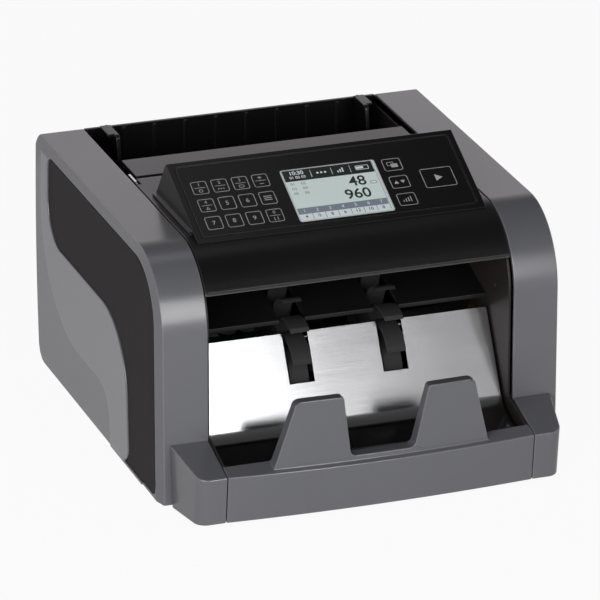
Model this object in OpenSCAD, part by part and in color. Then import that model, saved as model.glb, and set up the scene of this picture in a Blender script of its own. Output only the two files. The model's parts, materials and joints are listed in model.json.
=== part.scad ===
// Banknote counter: a hopper at the back, a friction feed across the middle, a stacker bay at the front.
// Everything is drawn from the front plane of the side panels (y = 0) at the level of the base's underside
// (z = 0), with x to the right and the front facing -y. machine() then stands it on the bench.

/* [Side panels] */
// Clear width between the two side panels
bay_w = 194; // [188:1:204]
// Thickness of a side panel at its top edge
panel_w = 28; // [26:0.5:34]
// Depth of the side panels, front to back
body_d = 247; // [238:1:264]
// Height of the side panels above the base's underside
body_h = 153.5; // [152:0.5:158]
// Radius of the shoulder between the top and the front
shoulder_r = 46; // [42:1:48]
// Wall of the moulded shells
wall = 2.5; // [2:0.1:3]
// Width of the bevelled rim along the top
bevel_w = 7.5; // [5:0.5:9]
// Radius of the crowned outer face
crown_r = 3000; // [2000:50:5000]
// How far the crowned face stands out past the top edge at its fullest
crown_out = 3.2; // [2.6:0.1:3.8]
// Height of the fullest point of the crown
crown_z = 72; // [60:1:90]
// Rear top corner radius
rear_top_r = 6; // [3:0.5:10]
// Rear bottom corner radius
rear_low_r = 11; // [6:0.5:14]
// Height of the panels' lower edge
panel_foot = 1.5; // [1:0.5:3]

/* [Inlay and sweep] */
// Thickness of the dark inlay
inlay_t = 1.2; // [0.8:0.1:1.4]
// Shadow gap round the inlay
inlay_gap = 0.35; // [0.2:0.05:0.6]
// Inlay's upper edge below the panel's top
inlay_drop = 7.5; // [7:0.5:10]
// Inlay's front edge behind the panel's front
inlay_back = 9.5; // [8:0.5:12]
// Depth of the inlay's upright leg at the front
inlay_leg = 50; // [44:1:56]
// Height of the inlay's long arm
inlay_arm = 52.5; // [46:0.5:58]
// Length of the inlay's arm from the panel's front
inlay_end = 219; // [205:1:222]
// Radius of the inside bend between leg and arm
inlay_bend = 47; // [35:1:52]
// Radius of the arm's lower rear end
inlay_tail = 27; // [20:1:32]
// Radius of the arm's upper rear corner
inlay_tip = 5; // [2:0.5:8]
// Radius of the leg's front foot
inlay_toe = 8; // [4:0.5:12]
// Radius by which the leg's rear edge runs out at its foot
inlay_heel = 12; // [6:0.5:16]
// Length cut off the thin end of that run-out
heel_blunt = 3.5; // [2:0.5:5]
// Inlay's lower edge above the panel's lower edge
inlay_foot = 2; // [1:0.5:6]
// How far the grey sweep beside the inlay stands proud
sweep_rise = 0.8; // [0.4:0.1:1.2]
// Width of the sweep under the arm
sweep_arm = 55.5; // [45:0.5:60]
// Width of the sweep behind the leg
sweep_leg = 37; // [30:1:42]
// Sweep's rear end from the panel's front
sweep_end = 233.5; // [226:0.5:238]
// Radius of the sweep's lower rear end
sweep_tail = 75; // [60:1:80]
// Radius of the sweep's inside bend
sweep_bend = 20; // [12:1:28]

/* [Stacker tray] */
// How far the tray's front top edge reaches in front of the panels, at its ends
tray_reach = 36.3; // [32:0.5:40]
// Height of the tray's front top edge
tray_front_h = 30.6; // [28:0.2:34]
// Height of the tray ends at the panels
tray_rear_h = 40.5; // [38:0.5:44]
// Setback of the tray's front face at the bottom
tray_undercut = 3.7; // [2:0.1:5]
// Setback of the tray's sides from the panels' top edges, at the panels
tray_in_rear = 4; // [2:0.5:7]
// Setback of the tray's sides from the panels' top edges, at the front corners
tray_in_front = 10.7; // [7:0.1:15]
// Plan radius of the tray's front corners
tray_corner_r = 8; // [4:0.5:12]
// Outward bow of the front bar at its middle
bar_bow = 3.7; // [2:0.1:5]
// Depth of the bar's sloping top facet
bar_top = 12.6; // [11:0.2:15]
// Seam between the bar and the tray ends
seam = 0.25; // [0.15:0.05:0.5]
// Setback of the fingers from the bar's front edge
finger_set = 3.6; // [2:0.2:5]
// Height of the fingers' tops
finger_h = 75; // [68:0.5:80]
// Half width across both fingers at the bar
finger_out_low = 68; // [64:0.5:72]
// Half width across both fingers at the top
finger_out_top = 56; // [52:0.5:60]
// Half width of the finger notch at its bottom
notch_low = 20; // [17:0.5:23]
// Half width of the finger notch at the top
notch_top = 26.8; // [24:0.2:30]
// Height of the notch's bottom
notch_z = 34; // [33:0.5:40]
// Corner radius of the notch's bottom
notch_r = 4; // [2:0.5:6]
// Outer top corner radius of the fingers
finger_r = 4.5; // [2:0.5:6]
// Inner top corner radius of the fingers
finger_r_in = 2.2; // [1:0.2:4]
// Forward lean of the fingers' front face per mm of height
finger_lean = 0.14; // [0.1:0.01:0.17]
// Thickness of the fingers at their tops
finger_t_top = 7; // [5:0.5:8]

/* [Stacker plate] */
// Thickness of the polished plate
plate_t = 1.2; // [0.8:0.1:1.6]
// Height of the plate's front edge
plate_front_z = 23.6; // [20:0.2:25]
// Rise of the plate's floor, degrees
plate_floor_a = 16.5; // [12:0.5:20]
// Slope of the plate's back, degrees
plate_back_a = 61; // [57:0.5:64]
// Length of the plate's floor
plate_floor = 28; // [24:0.5:30]
// Inside radius of the plate's bend
plate_bend = 16; // [10:0.5:20]
// Length of the plate's back
plate_back = 54; // [48:1:56]

/* [Frames and base] */
// Thickness of the steel side frames
frame_t = 1.5; // [1.2:0.1:2]
// Gap between a frame and its side panel
frame_gap = 0.5; // [0.3:0.1:0.8]
// Setback of the frames inside the panels' outline
frame_inset = 4; // [3.2:0.2:6]
// How far the frames' toes stay below the tops of the tray ends
toe_drop = 0.6; // [0.4:0.1:2]
// Thickness of the base pan
pan_t = 2.5; // [1.5:0.1:3]
// Height of the rubber feet below the base's underside
foot_h = 4; // [3:0.5:8]
// Radius of the rubber feet
foot_r = 9; // [7:0.5:10]
// Distance of the feet from the panels' top edges
foot_in = 27; // [20:1:40]
// Distance of the feet from the panels' ends
foot_y = 26; // [20:1:40]

/* [Upper cover and pod] */
// Height of the front cover above its lower lip
lip_drop = 24; // [20:0.5:28]
// Gap between the cover and the side panels
cover_gap = 0.6; // [0.4:0.1:0.8]
// Distance of the cover's rear seam in front of the feed shaft
seam_ahead = 10; // [8:0.5:13]
// Radius of the hinge barrel along the cover's rear edge
barrel_r = 3; // [2.8:0.1:3.2]
// Radius of the hinge pins
pin_r = 2; // [1.5:0.1:2.2]
// Gap between the control pod's sides and the side panels
pod_gap = 5.5; // [4:0.5:9]
// Position of the pod's front edge behind the panels' front
pod_front_y = 33.7; // [30:0.5:37]
// Position of the pod's ridge
pod_top_y = 94.5; // [90:0.5:98]
// Height of the pod's ridge above the panels' top
pod_rise = 27.9; // [24:0.2:31]
// Position of the pod's rear foot
pod_back_y = 116; // [112:0.5:120]
// Wall at the pod's front edge
pod_lip = 0.5; // [0.3:0.1:1.5]
// Plinth under the pod, height
plinth_h = 2; // [1:0.2:3]
// Plinth's reach past the pod's sides
plinth_out = 1.5; // [0.5:0.1:2]

/* [Keypad and display] */
// Thickness of the keypad foil
foil_t = 0.5; // [0.3:0.1:0.8]
// Margin of the foil inside the pod's face
foil_margin = 4; // [3:0.2:5]
// Width of a number key
key_w = 10.2; // [9:0.1:11]
// Height of a key
key_h = 10.8; // [9:0.1:11.5]
// Width of a mode key
mode_w = 12; // [10:0.1:13]
// Width of the start key
start_w = 20.4; // [16:0.2:22]
// Height of the start key
start_h = 16.2; // [12:0.2:18]
// Corner radius of the keys
key_r = 1.6; // [0.8:0.1:2.5]
// Thickness of a key's pad
key_t = 1.6; // [1.2:0.1:2]
// Gap round a key
key_gap = 0.3; // [0.2:0.05:0.4]
// Travel of a key
key_travel = 0.4; // [0.2:0.05:0.5]
// Pitch of the number keys across
key_pitch_x = 12.83; // [12:0.01:13.5]
// Pitch of the key rows down the face
key_pitch_y = 14.75; // [13:0.05:15]
// Middle of the first column of number keys, from the pod's left side
key_edge = 14.6; // [13:0.1:17]
// Middle of the first row of keys, down from the pod's ridge
key_first_y = 23; // [20:0.1:25]
// Middle of the mode keys, from the pod's right side
mode_edge = 46; // [44:0.1:48]
// Middle of the start key, from the pod's right side
start_edge = 21.1; // [19:0.1:24]
// Gap between the number keys and the display window
screen_gap_left = 8.4; // [5:0.2:12]
// Gap between the display window and the mode keys
screen_gap_right = 4; // [3:0.2:8]
// Height of the display window
screen_h = 43.4; // [38:0.2:45]
// Middle of the display window, down from the pod's ridge
screen_y = 38.9; // [37:0.1:41]

/* [Hopper] */
// Gap between the lip strip in front of the hopper and the hinge brackets
strip_gap = 1.5; // [1:0.1:3]
// Depth of the lip strip
strip_d = 31; // [28:0.5:33]
// Depth of the hopper, from its floor's front edge to the backrest
hopper_d = 59; // [54:0.5:70]
// Drop of the hopper floor's front edge below the note path
floor_drop = 8; // [7:0.2:10]
// Gap between the feed rollers and the hopper floor
floor_gap = 2; // [1:0.5:4]
// Slope of the hopper floor, degrees
floor_a = 17; // [15:0.5:18]
// Thickness of the hopper floor
floor_t = 2.5; // [2:0.1:3]
// Gap between the note guides' inner faces and the frames
guide_gap = 14; // [13:0.5:18]
// How far the note guides slide inwards
guide_in = 25; // [15:1:28]
// How far the note guides slide outwards
guide_outward = 6; // [3:0.5:7]
// Width of the note guides' top flange
guide_flange = 4; // [2:0.5:5]
// How far the note guides stand above the panels
guide_rise = 2; // [0:0.5:4]
// Radius of the rod that carries the note guides
guide_rod_r = 2.5; // [2:0.1:3]
// Number of ribs on the backrest
backrest_ribs = 8; // [4:1:12]

/* [Feed and transport] */
// Depth of the note path below the panels' top
path_drop = 45.5; // [43:0.5:50]
// Distance of the transport shaft behind the panels' front
transport_y = 104; // [102:0.5:110]
// Distance of the stacker shaft behind the panels' front
stacker_y = 60; // [57:0.5:61]
// Drop of the stacker shaft below the note path
stacker_drop = 36; // [33:0.5:40]
// Radius of the shafts
shaft_r = 4; // [3.5:0.1:4.5]
// Running clearance of shafts and pins, radial
run_gap = 0.05; // [0.02:0.01:0.09]
// Radius of the feed rollers
feed_r = 20; // [19.5:0.1:20.4]
// Radius of the pickup rollers
pickup_r = 18.5; // [18:0.1:18.8]
// Radius of the transport rollers
transport_r = 15; // [14.5:0.1:15.4]
// Radius of the retard rollers
retard_r = 10.5; // [10:0.1:11]
// Radius of the pinch rollers
pinch_r = 9; // [8.5:0.1:9.3]
// Distance of the feed and pickup rollers from the centre line
roller_x = 33; // [28:0.5:45]
// Distance of the transport and pinch rollers from the centre line
transport_x = 62; // [56:0.5:70]
// Width of the rollers
roller_w = 18; // [14:0.5:20]
// Grooves in a roller's tread
roller_grooves = 3; // [1:1:5]
// Tip radius of the stacker wheels' fins
fin_tip_r = 38; // [36:0.2:38.5]
// Hub radius of the stacker wheels
fin_hub_r = 13; // [11:0.5:15]
// Number of fins on a stacker wheel
fins = 12; // [8:1:14]
// Thickness of a fin
fin_t = 1.4; // [1:0.1:2]
// Curve radius of a fin
fin_curve = 22; // [20:0.5:26]
// Width of a stacker wheel
fin_w = 12; // [8:0.5:14]
// Distance of the stacker wheels from the centre line
wheel_x = 30; // [26:0.5:34]
// Width of the drive belts
belt_w = 4; // [3:0.1:4.4]
// Thickness of the drive belts
belt_t = 1.5; // [1:0.1:2]
// Radius of the motor
motor_r = 18; // [15:0.5:18]
// Length of the motor
motor_l = 58; // [45:1:62]

/* [Rear] */
// Setback of the rear cover from the panels' rear edge
rear_inset = 2.5; // [2:0.1:4]
// Middle of the mains inlet, from the centre line
inlet_x = -58; // [-66:1:-52]
// Height of the mains inlet and the switch
inlet_z = 30; // [27:0.5:36]
// Middle of the power switch, from the centre line
switch_x = -18; // [-24:1:-12]
// Width of the switch rocker
switch_w = 13; // [11:0.2:15]
// Height of the switch rocker
switch_h = 19; // [17:0.2:21]
// Tilt of the switch rocker from on to off, degrees
switch_tilt = 14; // [8:1:16]
// Number of vent slots across
vent_n = 14; // [8:1:16]

/* [Hidden] */
$fn = 64;

grey = [0.42, 0.42, 0.44];
dark = [0.16, 0.14, 0.14];
black = [0.06, 0.06, 0.06];
steel = [0.75, 0.76, 0.78];
rubber = [0.12, 0.12, 0.12];
green = [0.1, 0.35, 0.2];

// How far a cut runs past the face that it opens
over = 1;
// Gap of a fixed seat between pieces
seat = 0.2;
// Gap of a close fit between fixed pieces
fit = 0.05;
// Facets of the very large radii
big_fn = 256;

// Half widths, from the panels inwards
bay = bay_w / 2;
half = bay + panel_w;
frame_out = bay - frame_gap;
frame_in = frame_out - frame_t;
inner = frame_in - seat;

tray_half_rear = half - tray_in_rear;
tray_half_front = half - tray_in_front;

// Note path and hopper, from the back to the feed shaft
path_z = body_h - path_drop;
note_gap = 1;
rest_t = 3.5;
rear_y = body_d - rear_inset;
rest_y = rear_y - rest_t;
floor_front_y = rest_y - hopper_d;
floor_front_z = path_z - floor_drop;
feed_y = floor_front_y - feed_r - floor_gap;
lip_z = body_h - lip_drop;
seam_y = feed_y - seam_ahead;

// Tray's front: a leaning cylinder of large radius bows the bar, and others behind it bow the fingers' faces
bow_r = (bay * bay + bar_bow * bar_bow) / (2 * bar_bow);
bow_y = bow_r - tray_reach - bar_bow;
bar_slope = (tray_rear_h - tray_front_h) / tray_reach;
bar_lean = tray_undercut / tray_front_h;
bar_rear_y = bar_top - tray_reach - bar_bow / 2;
function tray_top(y) = tray_front_h + bar_slope * (y + tray_reach);
finger_t_low = bar_rear_y + tray_reach + bar_bow / 2 - finger_set;
finger_back_lean = finger_lean + (finger_t_low - finger_t_top) / (finger_h - tray_front_h);
finger_bow = bow_r - finger_set;
finger_tip_x = notch_top + finger_r_in;
front_reach = finger_bow * sqrt(1 - pow(finger_tip_x / finger_bow, 2) * (1 + pow(finger_lean, 2)))
  + finger_lean * (finger_h - tray_front_h) - bow_y;
mid_shift = (front_reach - body_d) / 2;

// Shafts and rollers as [y, z]
feed = [feed_y, path_z - feed_r];
transport = [transport_y, path_z - transport_r];
pickup = [floor_front_y + pickup_r + 3.5, path_z - pickup_r - 0.5];
stacker = [stacker_y, path_z - stacker_drop];
retard = [feed_y + 4, path_z + note_gap + retard_r + seat];
pinch = [transport_y, path_z + note_gap + pinch_r];
motor = [transport_y + motor_r - 3, motor_r + 18];
hinge = [seam_y - 0.5 - barrel_r, body_h - barrel_r];
rod_at = [rest_y - 12, floor_front_z - 7];

// Pulleys stand in three planes beside the right frame
plane = [bay + 2.5, bay + 9, bay + 15.5];
pulley_w = belt_w + 2;
motor_pulley_r = 7;
feed_pulley_r = 14;
pulley_r = 10;
small_pulley_r = 6.5;
stacker_pulley_r = 19.5;
flange_rise = 2.5;
belt_gap = 0.3;

// Control pod's face: its half width, its slope and its length from the ridge to the front edge
pod_half = bay - pod_gap;
pod_top_z = body_h + pod_rise;
pod_front_z = body_h - shoulder_r + sqrt(pow(shoulder_r, 2) - pow(shoulder_r - pod_front_y, 2)) + pod_lip;
face_a = atan((pod_top_z - pod_front_z) / (pod_top_y - pod_front_y));
face_l = norm([pod_top_y - pod_front_y, pod_top_z - pod_front_z]);
pod_points = [[pod_front_y, body_h - shoulder_r / 2], [pod_front_y, pod_front_z], [pod_top_y, pod_top_z],
  [pod_back_y, body_h], [pod_back_y, body_h - shoulder_r / 2]];
board_depth = 4.6;
board_t = 1.6;

// Hopper floor, rising to the backrest
floor_l = (rest_y - seat - floor_front_y) / cos(floor_a);
function floor_z(y) = floor_front_z + (y - floor_front_y) * tan(floor_a);
guide_slot = [rod_at[0] - 3, rod_at[0] + 3];
guide_x = frame_in - guide_gap;

// Stands the machine on its feet, with the middle of its outline at the origin
module machine() translate([0, mid_shift, foot_h]) children();
// A side profile [y, z] carried across from x0 to x1
module across(x0, x1) translate([x0, 0, 0]) rotate([90, 0, 90]) linear_extrude(x1 - x0) children();
// A front profile [x, z] carried back from y0 to y1
module back(y0, y1) translate([0, y1, 0]) rotate([90, 0, 0]) linear_extrude(y1 - y0) children();
// A plan profile [x, y] raised from z0 to z1
module rise(z0, z1) translate([0, 0, z0]) linear_extrude(z1 - z0) children();
// A bar along x at [y, z]
module bar(p, r, x0, x1) translate([x0, p[0], p[1]]) rotate([0, 90, 0]) cylinder(r = r, h = x1 - x0);
module pair() {
  children();
  mirror([1, 0, 0]) children();
}

// The piece that is cut away to round a square corner at the origin
module corner(r) difference() {
  translate([-over, -over]) square(r + over);
  translate([r, r]) circle(r);
}

function unit(v) = v / norm(v);
function to_last(p, i) = unit(p[(i + len(p) - 1) % len(p)] - p[i]);
function to_next(p, i) = unit(p[(i + 1) % len(p)] - p[i]);
function half_angle(p, i) = acos(to_last(p, i) * to_next(p, i)) / 2;
function inner_point(p, i, r) = p[i] + unit(to_last(p, i) + to_next(p, i)) * r / sin(half_angle(p, i));
function inset_points(p, d) = [for (i = [0:len(p) - 1]) inner_point(p, i, d)];

// What is cut away to round the outline's corner i
module corner_cut(p, i, r) {
  mid = inner_point(p, i, r);
  a = p[i] + to_last(p, i) * r / tan(half_angle(p, i));
  b = p[i] + to_next(p, i) * r / tan(half_angle(p, i));
  difference() {
    polygon([a, a + unit(a - mid), p[i] + unit(a - mid) + unit(b - mid), b + unit(b - mid), b]);
    translate(mid) circle(r);
  }
}

// A convex outline with its own radius at each corner
module soft_poly(p, r) {
  n = len(p);
  polygon([for (i = [0:n - 1]) each (r[i] > 0
    ? [p[i] + to_last(p, i) * r[i] / tan(half_angle(p, i)),
      p[i] + to_next(p, i) * r[i] / tan(half_angle(p, i))]
    : [p[i]])]);
  for (i = [0:n - 1]) if (r[i] > 0) translate(inner_point(p, i, r[i])) circle(r[i]);
}
module soft_rect(w, h, r) soft_poly([[-w / 2, -h / 2], [w / 2, -h / 2], [w / 2, h / 2], [-w / 2, h / 2]],
  [r, r, r, r]);

// Side outline of the body, inset all round
module body_side(d) difference() {
  translate([d, panel_foot + d]) square([body_d - 2 * d, body_h - panel_foot - 2 * d]);
  translate([d, body_h - d]) mirror([0, 1]) corner(shoulder_r - d);
}

// Dark inlay's outline, grown by g
module inlay_side(g) {
  top = body_h - inlay_drop;
  low = top - inlay_arm;
  leg = inlay_back + inlay_leg;
  foot = panel_foot + inlay_foot;
  difference() {
    union() {
      translate([inlay_back - g, low - g]) square([inlay_end - inlay_back + 2 * g, inlay_arm + 2 * g]);
      translate([inlay_back - g, foot - g]) square([inlay_leg + 2 * g, top - foot + 2 * g]);
      difference() {
        translate([leg, low - inlay_bend]) square(inlay_bend);
        translate([leg + inlay_bend, low - inlay_bend]) circle(inlay_bend - g);
      }
      difference() {
        translate([leg, foot - g]) square(inlay_heel);
        translate([leg + inlay_heel, foot + inlay_heel]) circle(inlay_heel - g);
        translate([leg + inlay_heel - heel_blunt + g, foot - g - over]) square(inlay_heel);
      }
    }
    translate([inlay_back - g, top + g]) mirror([0, 1]) corner(shoulder_r - inlay_back + g);
    translate([inlay_end + g, low - g]) mirror([1, 0]) corner(inlay_tail + g);
    translate([inlay_end + g, top + g]) rotate(180) corner(inlay_tip + g);
    translate([inlay_back - g, foot - g]) corner(inlay_toe + g);
  }
}

// Outline of the grey sweep that follows the inlay's lower edge
module sweep_side() {
  top = body_h - inlay_drop;
  low = top - inlay_arm - sweep_arm;
  leg = inlay_back + inlay_leg + sweep_leg;
  start = inlay_back + shoulder_r;
  difference() {
    union() {
      translate([start, low]) square([sweep_end - start, top - low]);
      translate([inlay_back + inlay_leg / 2, panel_foot]) square([leg - inlay_back - inlay_leg / 2, low]);
      difference() {
        translate([leg, low - sweep_bend]) square(sweep_bend);
        translate([leg + sweep_bend, low - sweep_bend]) circle(sweep_bend);
      }
    }
    translate([sweep_end, low]) mirror([1, 0]) corner(sweep_tail);
  }
}

// Barrel of the crowned outer face, on the right
function crown_x(z) = half + crown_out - crown_r + sqrt(pow(crown_r, 2) - pow(z - crown_z, 2));
module crown(grow) translate([half + crown_out - crown_r, body_d + over, crown_z]) rotate([90, 0, 0])
  cylinder(r = crown_r + grow, h = body_d + 2 * over, $fn = big_fn);

// Outer form of the right panel: one bevelled section run along the top, round the shoulder and down
// the front. Its slope runs on past the crown, which trims it
bevel_slope = (crown_x(body_h - bevel_w) - half) / bevel_w;
panel_out = 2 * crown_out;
module panel_form() {
  rim = half - bay;
  centre_z = body_h - shoulder_r;
  section = [[0, 0], [shoulder_r, 0], [shoulder_r, rim],
    [shoulder_r - panel_out / bevel_slope, rim + panel_out], [0, rim + panel_out]];
  // around the shoulder
  translate([bay, shoulder_r, centre_z]) rotate([0, 90, 0]) rotate([0, 0, 180])
    rotate_extrude(angle = 90) polygon(section);
  // along the top
  translate([bay, shoulder_r, centre_z]) rotate([90, 0, 90]) rotate([0, 90, 0])
    linear_extrude(body_d - shoulder_r) polygon([for (s = section) [-s[1], s[0]]]);
  // down the front
  rise(panel_foot, centre_z) polygon([for (s = section) [bay + s[1], shoulder_r - s[0]]]);
  // behind and below
  translate([bay, shoulder_r, panel_foot])
    cube([rim + panel_out, body_d - shoulder_r, centre_z - panel_foot]);
}

// Bosses that take the screws of the side panels, as [y, z]
boss_at = [[26, 20], [26, 104], [body_d - 18, 24], [body_d - 18, body_h - 18]];
boss_r = 4;
boss_bore_r = 1.5;

// Space inside a panel, open towards the frame and below
module panel_hollow() intersection() {
  across(bay - over, half + panel_out) {
    body_side(wall);
    translate([wall, panel_foot - over]) square([body_d - 2 * wall, 3 * wall]);
  }
  crown(-wall);
}

// Right side panel; the left one is its mirror image
module side_panel() color(grey) machine() {
  difference() {
    union() {
      difference() {
        intersection() {
          panel_form();
          crown(0);
        }
        panel_hollow();
      }
      intersection() {
        across(half - 2 * wall, half + panel_out) sweep_side();
        difference() {
          crown(sweep_rise);
          crown(-wall / 2);
        }
      }
      for (p = boss_at) bar(p, boss_r, frame_out + fit, half + crown_out - wall + 0.3);
    }
    difference() {
      across(half - wall, half + panel_out) inlay_side(inlay_gap);
      crown(-inlay_t - fit);
    }
    for (p = boss_at) bar(p, boss_bore_r, bay - over, half - 3 * wall);
    across(bay - over, half + panel_out) {
      translate([body_d, body_h]) rotate(180) corner(rear_top_r);
      translate([body_d, panel_foot]) mirror([1, 0]) corner(rear_low_r);
    }
  }
}
module right_side_panel() side_panel();
module left_side_panel() mirror([1, 0, 0]) side_panel();

module inlay() color(dark) machine() difference() {
  intersection() {
    across(half - wall, half + panel_out) inlay_side(0);
    crown(0);
  }
  crown(-inlay_t);
}
module right_inlay() inlay();
module left_inlay() mirror([1, 0, 0]) inlay();

// Tray's plan, carried down along the lean of its front face
module tray_lean() translate([0, -tray_reach, tray_front_h]) rotate([atan(bar_lean), 0, 0])
  translate([0, tray_reach, -2 * tray_rear_h]) linear_extrude(3 * tray_rear_h) children();

// Tray end: a sloping top met by a tapering plan, hollow from below
module tray_end() color(grey) machine() {
  x0 = bay + seam;
  ahead = -tray_reach - over;
  taper = (tray_half_rear - tray_half_front) / (tray_reach - seat);
  plan = [[x0 - over, tray_undercut], [x0 - over, -tray_reach], [tray_half_front, -tray_reach],
    [tray_half_rear + taper * (tray_undercut + seat), tray_undercut]];
  difference() {
    intersection() {
      across(x0, half)
        polygon([[-seat, 0], [-seat, tray_top(-seat)], [ahead, tray_top(ahead)], [ahead, 0]]);
      tray_lean() soft_poly(plan, [0, 0, tray_corner_r, 0]);
    }
    intersection() {
      across(x0 + wall, half) polygon([[-seat - wall, -over], [-seat - wall, tray_top(-seat - wall) - wall],
        [ahead, tray_top(ahead) - wall], [ahead, -over]]);
      tray_lean() soft_poly(inset_points(plan, wall), [0, 0, tray_corner_r - wall, 0]);
    }
  }
}
module right_tray_end() tray_end();
module left_tray_end() mirror([1, 0, 0]) tray_end();

// Space behind a bowed, leaning face
module bowed(behind, lean) {
  tilt = atan(lean);
  r = (bow_r - behind) * cos(tilt);
  translate([0, bow_y, tray_front_h]) rotate([tilt, 0, 0]) translate([0, 0, r * sin(tilt) - finger_h])
    cylinder(r = r, h = 3 * finger_h, $fn = big_fn);
}

// Outline of the right finger: up its inner side, along its top and down its outer side
finger_points = [[notch_low, notch_z], [notch_top, finger_h], [finger_out_top, finger_h],
  [finger_out_low, tray_front_h]];

// Notch between the fingers, its bottom corners cut across for the rounding that follows
notch_draw = atan((notch_top - notch_low) / (finger_h - notch_z));
notch_bend = [notch_low - notch_r * tan(45 - notch_draw / 2), notch_z + notch_r];
module notch_blank() {
  side = notch_bend + notch_r * [cos(notch_draw), -sin(notch_draw)];
  top = notch_top + over * tan(notch_draw);
  polygon([[-notch_bend[0], notch_z], [notch_bend[0], notch_z], side, [top, finger_h + over],
    [-top, finger_h + over], [-side[0], side[1]]]);
}

// Bowed bar with the stop fingers
module front_stop() color(grey) machine() {
  ahead = tray_reach + 2 * bar_bow;
  half_w = bay - seam;
  root_z = tray_front_h - wall;
  difference() {
    union() {
      intersection() {
        across(-half_w, half_w)
          polygon([[-ahead, 0], [-ahead, tray_top(-ahead)], [bar_rear_y, tray_top(bar_rear_y)],
            [bar_rear_y, 0]]);
        bowed(0, bar_lean);
      }
      difference() {
        difference() {
          intersection() {
            back(-ahead - finger_h, bar_rear_y) difference() {
              polygon([[-finger_out_low, root_z], [finger_out_low, root_z], finger_points[3],
                finger_points[2], [-finger_out_top, finger_h], [-finger_out_low, tray_front_h]]);
              notch_blank();
            }
            bowed(finger_set, finger_lean);
          }
          bowed(finger_set + finger_t_low, finger_back_lean);
        }
        pair() back(-ahead - finger_h, 0) {
          corner_cut(finger_points, 1, finger_r_in);
          corner_cut(finger_points, 2, finger_r);
          translate(notch_bend) circle(notch_r);
        }
      }
    }
    intersection() {
      across(wall - half_w, half_w - wall)
        polygon([[-ahead, -over], [-ahead, tray_top(-ahead) - wall],
          [bar_rear_y - wall, tray_top(bar_rear_y - wall) - wall], [bar_rear_y - wall, -over]]);
      bowed(wall, bar_lean);
    }
  }
}

// Bent sheet: floor, bend and back, with slots that let the stacker wheels through
plate_start = [bar_rear_y + seat, plate_front_z];
plate_knee = plate_start + plate_floor * [cos(plate_floor_a), sin(plate_floor_a)];
plate_centre = plate_knee + plate_bend * [-sin(plate_floor_a), cos(plate_floor_a)];
plate_rise = plate_centre + plate_bend * [sin(plate_back_a), -cos(plate_back_a)];
plate_end = plate_rise + plate_back * [cos(plate_back_a), sin(plate_back_a)];
plate_half = inner - 1.3;
wheel_at = stacker - plate_rise;
wheel_off = wheel_at[0] * sin(plate_back_a) - wheel_at[1] * cos(plate_back_a);
slot_from = wheel_at[0] * cos(plate_back_a) + wheel_at[1] * sin(plate_back_a)
  - sqrt(pow(fin_tip_r + 2, 2) - pow(wheel_off, 2));
module plate_side() {
  far = 3 * plate_bend;
  lap = 0.3;
  translate(plate_start) rotate(plate_floor_a) translate([0, -plate_t]) square([plate_floor + lap, plate_t]);
  translate(plate_rise) rotate(plate_back_a) translate([-lap, -plate_t]) square([plate_back + lap, plate_t]);
  translate(plate_centre) intersection() {
    difference() {
      circle(plate_bend + plate_t);
      circle(plate_bend);
    }
    polygon([[0, 0], far * [sin(plate_floor_a), -cos(plate_floor_a)],
      far * [sin((plate_floor_a + plate_back_a) / 2), -cos((plate_floor_a + plate_back_a) / 2)],
      far * [sin(plate_back_a), -cos(plate_back_a)]]);
  }
}
wheel_slot = fin_w + 4;
module stacker_plate() color(steel) machine() difference() {
  across(-plate_half, plate_half) plate_side();
  pair() translate([wheel_x - wheel_slot / 2, plate_rise[0], plate_rise[1]]) rotate([plate_back_a, 0, 0])
    translate([0, slot_from, -fin_tip_r]) cube([wheel_slot, 2 * fin_tip_r, 2 * fin_tip_r]);
}

// Steel frame: inner wall of bay and hopper, with the holes of everything that it carries
bush_r = 6.5;
motor_boss_r = 7;
retard_rod_r = 3;
frame_top = body_h - 5.5;
module side_frame() color(dark) machine() difference() {
  low = panel_foot + pan_t + fit;
  toe_end = bar_rear_y + seat;
  sill_h = 10;
  lap = frame_inset + 8;
  intersection() {
    across(frame_in, frame_out) {
      body_side(frame_inset);
      // sill on the pan, with a toe that lines the tray end
      polygon([[toe_end, low], [body_d, low], [body_d, low + sill_h], [lap, low + sill_h],
        [lap, tray_rear_h - toe_drop], [0, tray_rear_h - toe_drop],
        [toe_end, tray_top(toe_end) - toe_drop]]);
    }
    translate([0, toe_end - over, 0]) cube([bay, rear_y - wall - seat - toe_end + over, frame_top]);
  }
  for (p = [pickup, feed, transport, stacker]) bar(p, bush_r + run_gap, frame_in - over, bay);
  bar(retard, retard_rod_r + run_gap, frame_in - over, bay);
  bar(rod_at, guide_rod_r + run_gap, frame_in - over, bay);
  bar(motor, motor_boss_r + seat, frame_in - over, bay);
  for (p = boss_at) bar(p, boss_bore_r, frame_in - over, bay);
}
module right_frame() side_frame();
module left_frame() mirror([1, 0, 0]) side_frame();

// Pan that closes the bottom, with a tongue under the tray
module base_pan() color(dark) machine() difference() {
  union() {
    translate([wall + seat - half, wall + seat, panel_foot])
      cube([2 * (half - wall - seat), body_d - 2 * (wall + seat), pan_t]);
    translate([seat - bay, bar_rear_y + seat, panel_foot])
      cube([2 * (bay - seat), wall + over - bar_rear_y, pan_t]);
  }
  for (x = [-1, 1]) for (y = [0, 1]) translate([x * (half - wall), y * body_d, panel_foot - over])
    cylinder(r = rear_low_r, h = pan_t + 2 * over);
}

module feet() color(rubber) machine()
  for (x = [foot_in - half, half - foot_in]) for (y = [foot_y, body_d - foot_y])
    translate([x, y, -foot_h]) cylinder(r1 = foot_r - 1, r2 = foot_r, h = foot_h + panel_foot);

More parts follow.
